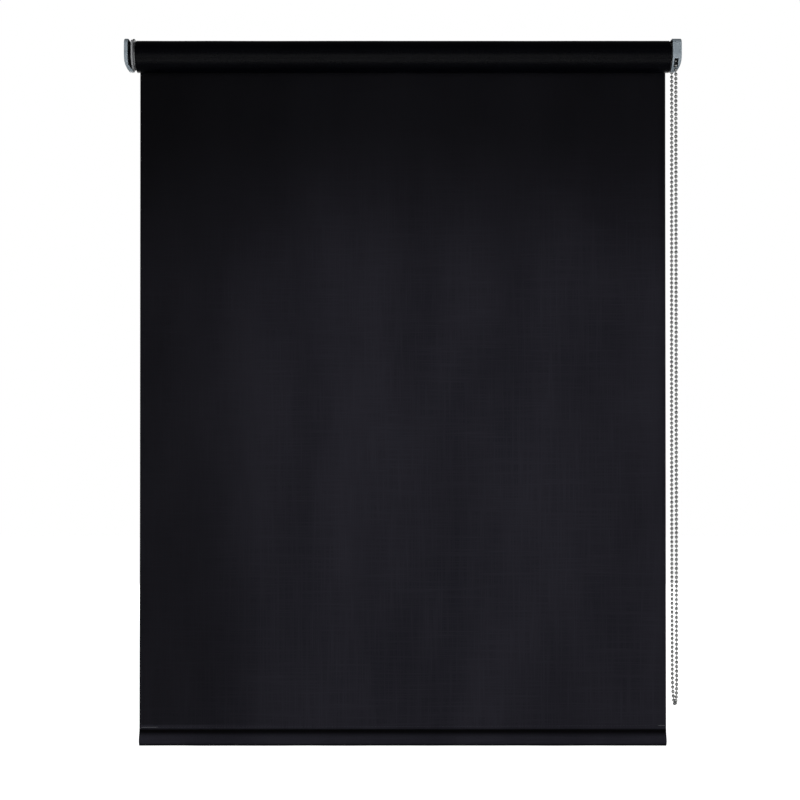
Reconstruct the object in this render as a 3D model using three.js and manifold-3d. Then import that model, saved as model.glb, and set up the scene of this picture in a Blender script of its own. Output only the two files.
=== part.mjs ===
// A chain-operated roller blind: a fabric screen wound on an aluminium tube between two
// wall brackets, with a bead chain and a wrap-spring clutch at the right-hand end.
// Millimetres, +Z up, +X to the right, +Y into the wall. The origin is on the wall plane,
// midway between the brackets and level with the roller's axis.
import * as THREE from 'three';
import { mergeVertices } from 'three/addons/utils/BufferGeometryUtils.js';
import Module from 'manifold-3d';

const wasm = await Module();
wasm.setup();

// ---- Driving dimensions ----------------------------------------------------------------

const WIDTH_OVER_COVERS = 750;
const DROP = 939; // roller axis down to the bottom of the hem
const AXIS_TO_WALL = 34;
const GAP = 0.3; // between pieces that touch or run on each other
const PAST = 1; // cutters and joined solids run this far past a face
const CLEAR = 100; // a cutter's reach where there is nothing else to cut

// Roller and screen
const TUBE_RADIUS = 19;
const TUBE_WALL = 1.2;
const FABRIC_THICKNESS = 0.45;
const WRAPS = 4; // turns of fabric left on the tube when the screen is fully down
const SPLINE_RADIUS = 1.4; // the rod that locks the fabric's edge in the tube's channel
const CHANNEL_WALL = 1;
const CHANNEL_MOUTH = 1.4;
const CHANNEL_SKIN = 0.4; // between the channel and the tube's outside
const HEM_HEIGHT = 25;
const BAR_HEIGHT = 14;
const BAR_THICKNESS = 9;
const BAR_WALL = 1.2;
const BAR_SHORTER_EACH_END = 6;

// Brackets and their screws
const PLATE = 1.3;
const FLANGE_WIDTH = 22;
const FLANGE_HOLE_IN = 13; // from the bracket's outer face
const BRACKET_ABOVE_CHIN = 0.9;
const SCREW_PITCH = 19;
const SCREW_RADIUS = 2;
const SCREW_HEAD_RADIUS = 3.6;
const SCREW_HEAD_HEIGHT = 2.2;
const SCREW_LENGTH = 22;
const SCREW_TIP_RADIUS = 0.6;
const SCREW_TIP = 2;
const SCREW_TAPER = 6; // from the point to the full shank
const RECESS_LENGTH = 3.6;
const RECESS_WIDTH = 0.8;

// Covers, seen from the side: flat top, round front and belly, chin rising to the wall
const COVER_WALL = 1.5;
const COVER_ROOM = 1.53; // inside the belly, round the chain drum
const COVER_TOP_RISE = 0.3; // the flat top stands this far above the belly's radius
const COVER_CORNER = 8;
const CHIN_DROP = 12; // how far below the axis the belly meets the wall
const CHEEK_IN = 6; // the rounded lower outer corner, inward and upward
const CHEEK_UP = 13;
const COVER_TO_WALL = 0.5;
const LEFT_COVER_DEPTH = 5;
const LIP_DEPTH = 13.4; // the left cover reaches this far inward under the roll's end
const LIP_HEIGHT = 9; // from the bottom of the belly up to where the lip leaves the rim
const LIP_EDGE = 2.5; // height of the lip at its inner end
const RIGHT_COVER_DEPTH = 12;

// Bead chain and its wheel
const BEAD_RADIUS = 2.25;
const LINK_SHOWING = 1.5; // wire between one bead and the next
const LINK_RADIUS = 0.5;
const WHEEL_POCKETS = 15;
const WHEEL_SIDE = 0.05; // the wheel is this much wider than a bead, each side
const TOOTH_RISE = 0.35; // teeth stand this far outside the pitch circle
const SLOT_ROOM = 0.55; // round a strand, in the slots that the chain leaves through
const SLOT_TOP = 6.5; // how far below the axis the front slot begins

// Clutch
const HOUSING_WALL = 1;
const NECK = 3.9; // from the tube's end to the housing
const NECK_RADIUS = 13.4;
const SKIRT_THICKNESS = 1.5; // the cap's skirt, which fills the neck's gap below the roll
const SKIRT_SPREAD = 62; // either side of straight down, in degrees
const CORE_RADIUS = 6;
const SPIGOT_SIDE = 9;
const CLUTCH_WIRE = 1.4;
const CLUTCH_COIL_PITCH = 1.6;
const CLUTCH_TURNS = 3;
const GRIP_ROOM = 0.1; // between the wound springs and the core
const TANG_BEND = 1.2; // from the coil to where its end turns outward
const TANG_REACH = 10.6; // from the axis to the ends of the springs
const TANG_ANGLE = 55; // each spring end's angle from the top, in degrees
const FINGER_ANGLE = 40; // half the angle of the wheel's drive finger
const FINGER_INNER = 9.2;
const FINGER_OUTER = 11;
const FINGER_CLEAR = 2; // from the sleeve's web to the finger's end
const SLEEVE_INNER = 11.3;
const SLEEVE_OUTER = 12.9;
const SLEEVE_LENGTH = 25;
const SLEEVE_WEB = 2.5;
const CORE_HEAD = 3.2;
const CORE_LIP = 1.2; // the head stands this far outside the core
const CORE_CHAMFER = 0.6;
const FIN_COUNT = 6;
const FIN_THICKNESS = 1.6;
const WELD = 0.4; // how far joined solids run into each other

// Idler end
const DISC_THICKNESS = 2;
const DISC_RADIUS = 18.5;
const DISC_TOP = 19.3; // the disc's upper half is squared off
const DISC_CORNER = 3;
const DISC_NECK = 3.5; // from the tube's end to the disc
const DISC_BOSS_RADIUS = 8;
const PEG_RADIUS = 1.5;
const PEG_OFFSET = 5.6;
const LUG_WIDTH = 3.7;
const LUG_TOP = 24.2;
const LUG_DEPTH = 4;
const LUG_EYE = 1.3;
const PLUG_LENGTH = 36;
const PLUG_FLANGE = 2;
const PLUG_NOTCH = 8; // clears the channel's lining
const COLLAR_SEAT = 14; // from the tube's end to the pin's collar
const PIN_RADIUS = 3;
const PIN_COLLAR_RADIUS = 4.4;
const PIN_COLLAR = 2;
const PIN_CHAMFER = 0.8;
const PIN_GUIDE_RADIUS = 1.8; // the pin's tail, inside the spring
const PIN_GUIDE = 7;
const PIN_SPRING_WIRE = 0.8;
const PIN_SPRING_TURNS = 7;
const PIN_SPRING_LENGTH = 21;
const CHAMBER_RADIUS = 4.8;
const CHAMBER_FLOOR = 2;
const SPRING_PLAY = 0.5; // between the spring and its chamber

// ---- Stations worked out from them ------------------------------------------------------

const BEAD_PITCH = 2 * BEAD_RADIUS + LINK_SHOWING;
const WHEEL_WIDTH = 2 * (BEAD_RADIUS + WHEEL_SIDE);
const CHAIN_SLOT = 2 * (BEAD_RADIUS + SLOT_ROOM);
const PITCH_RADIUS = WHEEL_POCKETS * BEAD_PITCH / (2 * Math.PI);
const DRUM_INNER = PITCH_RADIUS + BEAD_RADIUS + GAP;
const DRUM_OUTER = DRUM_INNER + HOUSING_WALL;
const COVER_RADIUS = DRUM_OUTER + COVER_ROOM + COVER_WALL;
const COVER_TOP = COVER_RADIUS + COVER_TOP_RISE;

const AXIS_Y = -AXIS_TO_WALL;
const HALF_WIDTH = WIDTH_OVER_COVERS / 2;
const PLATE_OUT = HALF_WIDTH - COVER_WALL - GAP;
const PLATE_IN = PLATE_OUT - PLATE;
const HOUSING_OUT = PLATE_IN - GAP;
const HOUSING_IN = HOUSING_OUT - HOUSING_WALL;
const WHEEL_OUT = HOUSING_IN - GAP;
const WHEEL_IN = WHEEL_OUT - WHEEL_WIDTH;
const CAP_OUT = WHEEL_IN - GAP;
const CAP_IN = CAP_OUT - HOUSING_WALL;
const TUBE_END = CAP_IN - NECK;
const CHAIN_X = (WHEEL_OUT + WHEEL_IN) / 2;

const TUBE_BORE = TUBE_RADIUS - TUBE_WALL;
const ROLL_RADIUS = TUBE_RADIUS + WRAPS * FABRIC_THICKNESS;
const SCREEN_Y = AXIS_Y + ROLL_RADIUS + GAP + FABRIC_THICKNESS / 2;
const HEM_TOP = HEM_HEIGHT - DROP;
const CHANNEL_RADIUS = SPLINE_RADIUS + GAP;
const CHANNEL_OFFSET = TUBE_RADIUS - CHANNEL_RADIUS - CHANNEL_SKIN;

const FIN_RADIUS = TUBE_BORE - GAP;

const DISC_IN = -(TUBE_END + DISC_NECK);
const DISC_OUT = DISC_IN - DISC_THICKNESS;

// ---- Helpers ----------------------------------------------------------------------------

const ALONG_X = new THREE.Matrix4().makeBasis(
  new THREE.Vector3(0, 1, 0), new THREE.Vector3(0, 0, 1), new THREE.Vector3(1, 0, 0));
const ALONG_MINUS_Y = new THREE.Matrix4().makeBasis(
  new THREE.Vector3(1, 0, 0), new THREE.Vector3(0, 0, 1), new THREE.Vector3(0, -1, 0));
const radians = THREE.MathUtils.degToRad;

// A closed geometry as a solid, with its seams merged and its faces turned outward.
function solidOf(geometry) {
  const bare = geometry.clone();
  bare.deleteAttribute('normal');
  bare.deleteAttribute('uv');
  const merged = mergeVertices(bare, 1e-4);
  const corners = Array.from(merged.index.array);
  const points = merged.attributes.position.array;
  const kept = [];
  let volume = 0;
  for (let i = 0; i < corners.length; i += 3) {
    const [a, b, c] = corners.slice(i, i + 3);
    if (a === b || b === c || c === a) continue;
    const [p, q, r] = [a, b, c].map((n) => new THREE.Vector3().fromArray(points, 3 * n));
    volume += p.dot(q.cross(r));
    kept.push(a, b, c);
  }
  if (volume < 0) kept.reverse();
  return new wasm.Manifold(new wasm.Mesh({
    numProp: 3,
    vertProperties: new Float32Array(points),
    triVerts: new Uint32Array(kept),
  }));
}

function geometryOf(solid) {
  const { vertProperties, triVerts } = solid.getMesh();
  const geometry = new THREE.BufferGeometry();
  geometry.setAttribute('position', new THREE.BufferAttribute(vertProperties, 3));
  geometry.setIndex(new THREE.BufferAttribute(triVerts, 1));
  geometry.computeVertexNormals();
  return geometry;
}

// An outline drawn in (Y, Z), made solid from x0 to x1.
function acrossX(outline, x0, x1, curveSegments = 12) {
  const [low, high] = [Math.min(x0, x1), Math.max(x0, x1)];
  const geometry = new THREE.ExtrudeGeometry(
    outline, { depth: high - low, bevelEnabled: false, curveSegments });
  geometry.applyMatrix4(ALONG_X);
  geometry.translate(low, 0, 0);
  return solidOf(geometry);
}

// An outline drawn in (X, Z), made solid from y0 to y1.
function acrossY(outline, y0, y1, curveSegments = 12) {
  const geometry = new THREE.ExtrudeGeometry(
    outline, { depth: y1 - y0, bevelEnabled: false, curveSegments });
  geometry.applyMatrix4(ALONG_MINUS_Y);
  geometry.translate(0, y1, 0);
  return solidOf(geometry);
}

// A closed profile of [radius, x] points turned about a line along X.
function turned(profile, segments = 48, y = AXIS_Y, z = 0) {
  const points = profile.map(([radius, x]) => new THREE.Vector2(radius, x));
  points.push(points[0].clone());
  const geometry = new THREE.LatheGeometry(points, segments);
  geometry.rotateZ(-Math.PI / 2);
  geometry.translate(0, y, z);
  return solidOf(geometry);
}

function ring(inner, outer, x0, x1, segments = 48, y = AXIS_Y, z = 0) {
  return turned([[inner, x0], [outer, x0], [outer, x1], [inner, x1]], segments, y, z);
}

function rod(radius, x0, x1, segments = 32, y = AXIS_Y, z = 0) {
  return ring(0, radius, x0, x1, segments, y, z);
}

function box(x0, x1, y0, y1, z0, z1) {
  const geometry = new THREE.BoxGeometry(Math.abs(x1 - x0), y1 - y0, z1 - z0);
  geometry.translate((x0 + x1) / 2, (y0 + y1) / 2, (z0 + z1) / 2);
  return solidOf(geometry);
}

function ovalOutline(thickness, height, y, z) {
  return new THREE.Shape().absellipse(y, z, thickness / 2, height / 2, 0, 2 * Math.PI);
}

// A slice of a ring about the roller's axis; angles in degrees from the top.
function sector(inner, outer, from, to, x0, x1) {
  const [start, end] = [radians(90 - to), radians(90 - from)];
  const outline = new THREE.Shape();
  outline.absarc(AXIS_Y, 0, outer, start, end, false);
  outline.absarc(AXIS_Y, 0, inner, end, start, true);
  return acrossX(outline, x0, x1, 16);
}

function fins(x0, x1, from) {
  const all = [];
  for (let i = 0; i < FIN_COUNT; i += 1) {
    const geometry = new THREE.BoxGeometry(x1 - x0, FIN_RADIUS - from, FIN_THICKNESS);
    geometry.translate((x0 + x1) / 2, (FIN_RADIUS + from) / 2, 0);
    geometry.rotateX(2 * Math.PI * i / FIN_COUNT);
    geometry.translate(0, AXIS_Y, 0);
    all.push(solidOf(geometry));
  }
  return wasm.Manifold.union(all);
}

// Round wire along a route.
function wire(points, radius, steps, sides) {
  const section = new THREE.Shape();
  for (let i = 0; i < sides; i += 1) {
    const angle = 2 * Math.PI * i / sides;
    const [u, v] = [radius * Math.cos(angle), radius * Math.sin(angle)];
    if (i === 0) section.moveTo(u, v);
    else section.lineTo(u, v);
  }
  const route = new THREE.CatmullRomCurve3(points, false, 'centripetal');
  return solidOf(new THREE.ExtrudeGeometry(section, { steps, extrudePath: route }));
}

const finishes = {
  coverPlastic: { color: 0x9aa3ab, roughness: 0.42, metalness: 0 },
  darkPlastic: { color: 0x1a1c1f, roughness: 0.5, metalness: 0 },
  lightPlastic: { color: 0xb9bcc0, roughness: 0.45, metalness: 0 },
  blackenedSteel: { color: 0x2c2f33, roughness: 0.45, metalness: 0.8 },
  steel: { color: 0xb4b6b8, roughness: 0.3, metalness: 1 },
  aluminium: { color: 0xc4c7ca, roughness: 0.35, metalness: 1 },
  blackout: { color: 0x0d0e11, roughness: 0.85, metalness: 0 },
  nickel: { color: 0xa6a8a8, roughness: 0.28, metalness: 1 },
};
const blind = new THREE.Group();

function add(name, solid, finish, parent = blind) {
  const mesh = new THREE.Mesh(geometryOf(solid), new THREE.MeshStandardMaterial(finishes[finish]));
  mesh.name = name;
  parent.add(mesh);
}

// ---- Brackets, screws and covers --------------------------------------------------------

// The side view of a cover, or of something lying `inset` inside it, back to `rear`.
function sideOutline(inset, rear) {
  const radius = COVER_RADIUS - inset;
  const top = COVER_TOP - inset;
  const corner = COVER_CORNER - inset;
  const chin = new THREE.Vector2(AXIS_TO_WALL, inset - CHIN_DROP);
  const tangent = chin.angle() - 2 * Math.PI - Math.acos(radius / chin.length());
  const touch = new THREE.Vector2(AXIS_Y + radius * Math.cos(tangent), radius * Math.sin(tangent));
  const slope = (inset - CHIN_DROP - touch.y) / (0 - touch.x);
  const outline = new THREE.Shape();
  outline.moveTo(rear, top);
  outline.lineTo(AXIS_Y - radius + corner, top);
  outline.absarc(AXIS_Y - radius + corner, top - corner, corner, Math.PI / 2, Math.PI, false);
  outline.lineTo(AXIS_Y - radius, 0);
  outline.absarc(AXIS_Y, 0, radius, Math.PI, 2 * Math.PI + tangent, false);
  outline.lineTo(rear, touch.y + slope * (rear - touch.x));
  return outline;
}

// The front view of a right-hand cover: its lower outer corner is a quarter oval.
function frontOutline(inset, innerX) {
  const outer = HALF_WIDTH - inset;
  const [across, up] = [CHEEK_IN - inset, CHEEK_UP - inset];
  const floor = inset - COVER_RADIUS;
  const outline = new THREE.Shape();
  outline.moveTo(innerX, COVER_TOP + GAP);
  outline.lineTo(outer, COVER_TOP + GAP);
  outline.lineTo(outer, floor + up);
  outline.absellipse(outer - across, floor + up, across, up, 0, -Math.PI / 2, true);
  outline.lineTo(innerX, floor);
  return outline;
}

function cover(depth) {
  const rim = HALF_WIDTH - depth;
  const skin = acrossX(sideOutline(0, -COVER_TO_WALL), rim, HALF_WIDTH)
    .intersect(acrossY(frontOutline(0, rim - PAST), -CLEAR, CLEAR));
  const hollow = acrossX(sideOutline(COVER_WALL, PAST), rim - PAST, HALF_WIDTH - COVER_WALL)
    .intersect(acrossY(frontOutline(COVER_WALL, rim - 2 * PAST), -CLEAR, CLEAR));
  return skin.subtract(hollow);
}

// What the left cover keeps of a deeper one: a lip along the bottom that narrows inward.
function lipRegion() {
  const [rim, end] = [HALF_WIDTH - LEFT_COVER_DEPTH, HALF_WIDTH - LIP_DEPTH];
  const outline = new THREE.Shape();
  outline.moveTo(rim + PAST, LIP_HEIGHT - COVER_RADIUS);
  outline.lineTo(rim, LIP_HEIGHT - COVER_RADIUS);
  outline.lineTo(end - PAST, LIP_EDGE - COVER_RADIUS);
  outline.lineTo(end - PAST, -CLEAR);
  outline.lineTo(rim + PAST, -CLEAR);
  return acrossY(outline, -CLEAR, CLEAR);
}

const PLATE_INSET = COVER_WALL + GAP;
const PLATE_FLOOR = PLATE_INSET - CHIN_DROP + BRACKET_ABOVE_CHIN;
const SCREW_X = PLATE_OUT - FLANGE_HOLE_IN;
const SCREW_Z = (COVER_TOP - PLATE_INSET + PLATE_FLOOR) / 2;

// One right-hand bracket: a side plate and the wall flange bent inward from it.
function bracket() {
  const outline = sideOutline(PLATE_INSET, 0);
  const side = acrossX(outline, PLATE_IN, PLATE_OUT)
    .intersect(box(PLATE_IN - PAST, PLATE_OUT + PAST, -CLEAR, PAST, PLATE_FLOOR, CLEAR));
  const flange = box(PLATE_OUT - FLANGE_WIDTH, PLATE_OUT, -PLATE, 0,
    PLATE_FLOOR, COVER_TOP - PLATE_INSET);
  let made = side.add(flange);
  for (const z of [SCREW_Z - SCREW_PITCH / 2, SCREW_Z + SCREW_PITCH / 2]) {
    const hole = new THREE.Shape().absarc(SCREW_X, z, SCREW_RADIUS + GAP, 0, 2 * Math.PI);
    made = made.subtract(acrossY(hole, -PLATE - PAST, PAST, 8));
  }
  return made;
}

// A pan-head wall screw with a cross recess, its head against the flange.
function screw(x, z) {
  const seat = -PLATE - GAP;
  const profile = [
    [0, 0], [SCREW_HEAD_RADIUS, 0], [SCREW_HEAD_RADIUS, 0.5 * SCREW_HEAD_HEIGHT],
    [0.7 * SCREW_HEAD_RADIUS, SCREW_HEAD_HEIGHT], [0, SCREW_HEAD_HEIGHT],
  ].map(([radius, height]) => new THREE.Vector2(radius, height));
  const head = new THREE.LatheGeometry(profile, 16);
  const shank = new THREE.LatheGeometry([
    [0, -SCREW_LENGTH], [SCREW_TIP_RADIUS, SCREW_TIP - SCREW_LENGTH],
    [SCREW_RADIUS, SCREW_TAPER - SCREW_LENGTH], [SCREW_RADIUS, WELD], [0, WELD],
  ].map(([radius, height]) => new THREE.Vector2(radius, height)), 10);
  let made = solidOf(head).add(solidOf(shank));
  for (const [a, b] of [[RECESS_LENGTH, RECESS_WIDTH], [RECESS_WIDTH, RECESS_LENGTH]]) {
    const slot = new THREE.BoxGeometry(a, SCREW_HEAD_HEIGHT, b);
    slot.translate(0, SCREW_HEAD_HEIGHT, 0);
    made = made.subtract(solidOf(slot));
  }
  return made.rotate([180, 0, 0]).translate([x, seat, z]);
}

const rightBracket = bracket();
const leftBracket = rightBracket.mirror([1, 0, 0]);

const spigotHole = box(HOUSING_IN - PAST, PLATE_OUT + PAST,
  AXIS_Y - SPIGOT_SIDE / 2 - GAP, AXIS_Y + SPIGOT_SIDE / 2 + GAP,
  -SPIGOT_SIDE / 2 - GAP, SPIGOT_SIDE / 2 + GAP);
add('right_bracket', rightBracket.subtract(spigotHole), 'blackenedSteel');

let leftPlate = leftBracket.subtract(rod(PIN_RADIUS + GAP, -PLATE_OUT - PAST, PAST - PLATE_IN));
for (const side of [-1, 1]) {
  leftPlate = leftPlate.subtract(
    rod(PEG_RADIUS + GAP, -PLATE_OUT - PAST, PAST - PLATE_IN, 16, AXIS_Y + side * PEG_OFFSET));
}
add('left_bracket', leftPlate, 'blackenedSteel');

for (const [side, name] of [[-1, 'left'], [1, 'right']]) {
  for (const [up, level] of [[-1, 'lower'], [1, 'upper']]) {
    add(`${name}_screw_${level}`,
      screw(side * SCREW_X, SCREW_Z + up * SCREW_PITCH / 2), 'steel');
  }
}

const leftCover = cover(LEFT_COVER_DEPTH).add(cover(LIP_DEPTH).intersect(lipRegion()));
add('left_cover', leftCover.mirror([1, 0, 0]), 'coverPlastic');

// The front slot runs out through the belly; the rear one is closed behind its strand.
let rightCover = cover(RIGHT_COVER_DEPTH);
const slotFrom = PITCH_RADIUS - CHAIN_SLOT / 2;
for (const [from, to, top] of [
  [-COVER_RADIUS - PAST, -slotFrom, -SLOT_TOP], [slotFrom, slotFrom + CHAIN_SLOT, -BEAD_PITCH],
]) {
  rightCover = rightCover.subtract(box(CHAIN_X - CHAIN_SLOT / 2, CHAIN_X + CHAIN_SLOT / 2,
    AXIS_Y + from, AXIS_Y + to, -CLEAR, top));
}
add('right_cover', rightCover, 'coverPlastic');

// ---- Idler end, on the left -------------------------------------------------------------

function endDisc() {
  const crown = new THREE.Shape();
  crown.moveTo(AXIS_Y - DISC_RADIUS, 0);
  crown.lineTo(AXIS_Y + DISC_RADIUS, 0);
  crown.lineTo(AXIS_Y + DISC_RADIUS, DISC_TOP - DISC_CORNER);
  crown.absarc(AXIS_Y + DISC_RADIUS - DISC_CORNER, DISC_TOP - DISC_CORNER, DISC_CORNER,
    0, Math.PI / 2, false);
  crown.absarc(AXIS_Y - DISC_RADIUS + DISC_CORNER, DISC_TOP - DISC_CORNER, DISC_CORNER,
    Math.PI / 2, Math.PI, false);
  let disc = rod(DISC_RADIUS, DISC_OUT, DISC_IN, 64).add(acrossX(crown, DISC_OUT, DISC_IN, 6));
  disc = disc.add(rod(DISC_BOSS_RADIUS, -HOUSING_OUT, DISC_OUT + WELD));
  for (const side of [-1, 1]) {
    disc = disc.add(
      rod(PEG_RADIUS, GAP - PLATE_OUT, PAST - HOUSING_OUT, 16, AXIS_Y + side * PEG_OFFSET));
  }
  const x = (DISC_IN + DISC_OUT) / 2;
  const half = LUG_WIDTH / 2;
  const lug = new THREE.Shape();
  lug.moveTo(x - half, DISC_TOP - WELD);
  lug.lineTo(x + half, DISC_TOP - WELD);
  lug.absarc(x, LUG_TOP - half, half, 0, Math.PI, false);
  const eye = new THREE.Path();
  eye.absarc(x, LUG_TOP - half, LUG_EYE / 2, 0, Math.PI, false);
  eye.absarc(x, DISC_TOP + LUG_EYE, LUG_EYE / 2, Math.PI, 2 * Math.PI, false);
  lug.holes.push(eye);
  disc = disc.add(acrossY(lug, AXIS_Y - LUG_DEPTH / 2, AXIS_Y + LUG_DEPTH / 2));
  return disc.subtract(rod(PIN_RADIUS + GAP, -HALF_WIDTH, DISC_IN + PAST));
}
add('end_disc', endDisc(), 'lightPlastic');

const PLUG_OUT = DISC_IN + GAP;
const PLUG_SEAT = -TUBE_END + GAP;
const PLUG_INNER = PLUG_SEAT + PLUG_LENGTH;
const COLLAR_OUT = PLUG_SEAT + COLLAR_SEAT;
const SPRING_FROM = COLLAR_OUT + PIN_COLLAR + GAP;
const CHAMBER_END = SPRING_FROM + PIN_SPRING_LENGTH + GAP;

function idlerPlug() {
  const radius = NECK_RADIUS - WELD;
  const body = rod(radius, PLUG_OUT, CHAMBER_END + CHAMBER_FLOOR);
  const ends = ring(radius - WELD, FIN_RADIUS, PLUG_SEAT, PLUG_SEAT + PLUG_FLANGE, 48);
  const notch = box(PLUG_SEAT - PAST, PLUG_SEAT + PLUG_FLANGE + PAST,
    AXIS_Y - PLUG_NOTCH / 2, AXIS_Y + PLUG_NOTCH / 2, NECK_RADIUS, CLEAR);
  return body.add(fins(PLUG_SEAT, PLUG_INNER, radius - WELD))
    .add(ends.subtract(notch))
    .subtract(rod(PIN_RADIUS + GAP, PLUG_OUT - PAST, COLLAR_OUT))
    .subtract(rod(CHAMBER_RADIUS, COLLAR_OUT - GAP, CHAMBER_END));
}
add('idler_plug', idlerPlug(), 'lightPlastic');

const pinTip = -PLATE_OUT;
add('idler_pin', turned([
  [0, pinTip], [PIN_RADIUS - PIN_CHAMFER, pinTip], [PIN_RADIUS, pinTip + PIN_CHAMFER],
  [PIN_RADIUS, COLLAR_OUT], [PIN_COLLAR_RADIUS, COLLAR_OUT],
  [PIN_COLLAR_RADIUS, COLLAR_OUT + PIN_COLLAR], [PIN_GUIDE_RADIUS, COLLAR_OUT + PIN_COLLAR],
  [PIN_GUIDE_RADIUS, COLLAR_OUT + PIN_COLLAR + PIN_GUIDE],
  [0, COLLAR_OUT + PIN_COLLAR + PIN_GUIDE],
], 32), 'steel');

function pinSpring() {
  const points = [];
  const perTurn = 8;
  const radius = CHAMBER_RADIUS - SPRING_PLAY - PIN_SPRING_WIRE / 2;
  const run = PIN_SPRING_LENGTH - PIN_SPRING_WIRE;
  const count = PIN_SPRING_TURNS * perTurn;
  for (let i = 0; i <= count; i += 1) {
    const angle = 2 * Math.PI * i / perTurn;
    points.push(new THREE.Vector3(SPRING_FROM + PIN_SPRING_WIRE / 2 + run * i / count,
      AXIS_Y + radius * Math.cos(angle), radius * Math.sin(angle)));
  }
  return wire(points, PIN_SPRING_WIRE / 2, PIN_SPRING_TURNS * 10, 6);
}
add('idler_spring', pinSpring(), 'steel');

// ---- Roller -----------------------------------------------------------------------------

function rollerTube() {
  const wall = ring(TUBE_BORE, TUBE_RADIUS, -TUBE_END, TUBE_END, 64);
  const lining = rod(CHANNEL_RADIUS + CHANNEL_WALL, -TUBE_END, TUBE_END, 24, AXIS_Y, CHANNEL_OFFSET)
    .intersect(rod(TUBE_BORE + WELD, -TUBE_END - PAST, TUBE_END + PAST, 64));
  const mouth = box(-TUBE_END - PAST, TUBE_END + PAST, AXIS_Y - CHANNEL_MOUTH / 2,
    AXIS_Y + CHANNEL_MOUTH / 2, CHANNEL_OFFSET, TUBE_RADIUS + PAST);
  return wall.add(lining)
    .subtract(rod(CHANNEL_RADIUS, -TUBE_END - PAST, TUBE_END + PAST, 24, AXIS_Y, CHANNEL_OFFSET))
    .subtract(mouth);
}
add('roller_tube', rollerTube(), 'aluminium');
add('fabric_spline', rod(SPLINE_RADIUS, -TUBE_END, TUBE_END, 12, AXIS_Y, CHANNEL_OFFSET),
  'lightPlastic');
add('fabric_roll', ring(TUBE_RADIUS + GAP, ROLL_RADIUS, -TUBE_END, TUBE_END, 96), 'blackout');

// ---- Screen, hem and bar ----------------------------------------------------------------

add('hanging_fabric', box(-TUBE_END, TUBE_END, SCREEN_Y - FABRIC_THICKNESS / 2,
  SCREEN_Y + FABRIC_THICKNESS / 2, HEM_TOP + GAP, 0), 'blackout');

const SLEEVE_HALF = BAR_THICKNESS / 2 + GAP + FABRIC_THICKNESS;
const SLEEVE_RISE = BAR_HEIGHT / 2 + GAP + FABRIC_THICKNESS;
const BAR_Z = SLEEVE_RISE - DROP;

// The pocket's section is a drop: two straight sides from the seam, tangent to an oval.
function hemPocket() {
  const seam = new THREE.Vector2(FABRIC_THICKNESS / SLEEVE_HALF, (HEM_TOP - BAR_Z) / SLEEVE_RISE);
  const from = seam.angle() - Math.acos(1 / seam.length());
  const outline = new THREE.Shape();
  outline.moveTo(SCREEN_Y + FABRIC_THICKNESS, HEM_TOP);
  outline.absellipse(SCREEN_Y, BAR_Z, SLEEVE_HALF, SLEEVE_RISE, from, Math.PI - from, true);
  outline.lineTo(SCREEN_Y - FABRIC_THICKNESS, HEM_TOP);
  const room = ovalOutline(BAR_THICKNESS + 2 * GAP, BAR_HEIGHT + 2 * GAP, SCREEN_Y, BAR_Z);
  return acrossX(outline, -TUBE_END, TUBE_END, 24)
    .subtract(acrossX(room, -TUBE_END - PAST, TUBE_END + PAST, 24));
}
add('hem_pocket', hemPocket(), 'blackout');

const BAR_END = TUBE_END - BAR_SHORTER_EACH_END;
const barSkin = ovalOutline(BAR_THICKNESS, BAR_HEIGHT, SCREEN_Y, BAR_Z);
const barBore = ovalOutline(
  BAR_THICKNESS - 2 * BAR_WALL, BAR_HEIGHT - 2 * BAR_WALL, SCREEN_Y, BAR_Z);
add('bottom_bar', acrossX(barSkin, -BAR_END, BAR_END, 24)
  .subtract(acrossX(barBore, -BAR_END - PAST, BAR_END + PAST, 24)), 'aluminium');

// ---- Chain drive, on the right ----------------------------------------------------------

function inDrum(solid) {
  const room = box(CAP_IN - PAST, HOUSING_OUT + PAST, AXIS_Y - CLEAR, AXIS_Y + CLEAR,
    PAST - PITCH_RADIUS - BEAD_RADIUS, CLEAR);
  let made = solid.intersect(room);
  for (const side of [-1, 1]) {
    const y = AXIS_Y + side * PITCH_RADIUS;
    made = made.subtract(box(WHEEL_IN - GAP, WHEEL_OUT + GAP,
      y - CHAIN_SLOT / 2, y + CHAIN_SLOT / 2, -CLEAR, -2 * BEAD_RADIUS));
  }
  return made;
}

const housing = rod(DRUM_OUTER, CAP_OUT + GAP, HOUSING_OUT, 64)
  .subtract(rod(DRUM_INNER, CAP_OUT, HOUSING_IN, 64))
  .subtract(spigotHole);
add('chain_housing', inDrum(housing), 'darkPlastic');

// The skirt hangs in the gap between the roll's end and the cover's rim.
const skirtFrom = TUBE_END + 2 * GAP;
const skirtAngles = [180 - SKIRT_SPREAD, 180 + SKIRT_SPREAD];
const skirt = sector(NECK_RADIUS + GAP, COVER_RADIUS, ...skirtAngles,
  skirtFrom, skirtFrom + SKIRT_THICKNESS)
  .add(sector(NECK_RADIUS + GAP, NECK_RADIUS + GAP + SKIRT_THICKNESS, ...skirtAngles,
    skirtFrom, CAP_IN + WELD));
const cap = inDrum(ring(NECK_RADIUS + GAP, DRUM_OUTER, CAP_IN, CAP_OUT, 64));
add('housing_cap', cap.add(skirt), 'darkPlastic');

const SLEEVE_OUT = TUBE_END - GAP;
const SLEEVE_IN = SLEEVE_OUT - SLEEVE_LENGTH;
const HUB_IN = TUBE_END + GAP;

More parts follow.
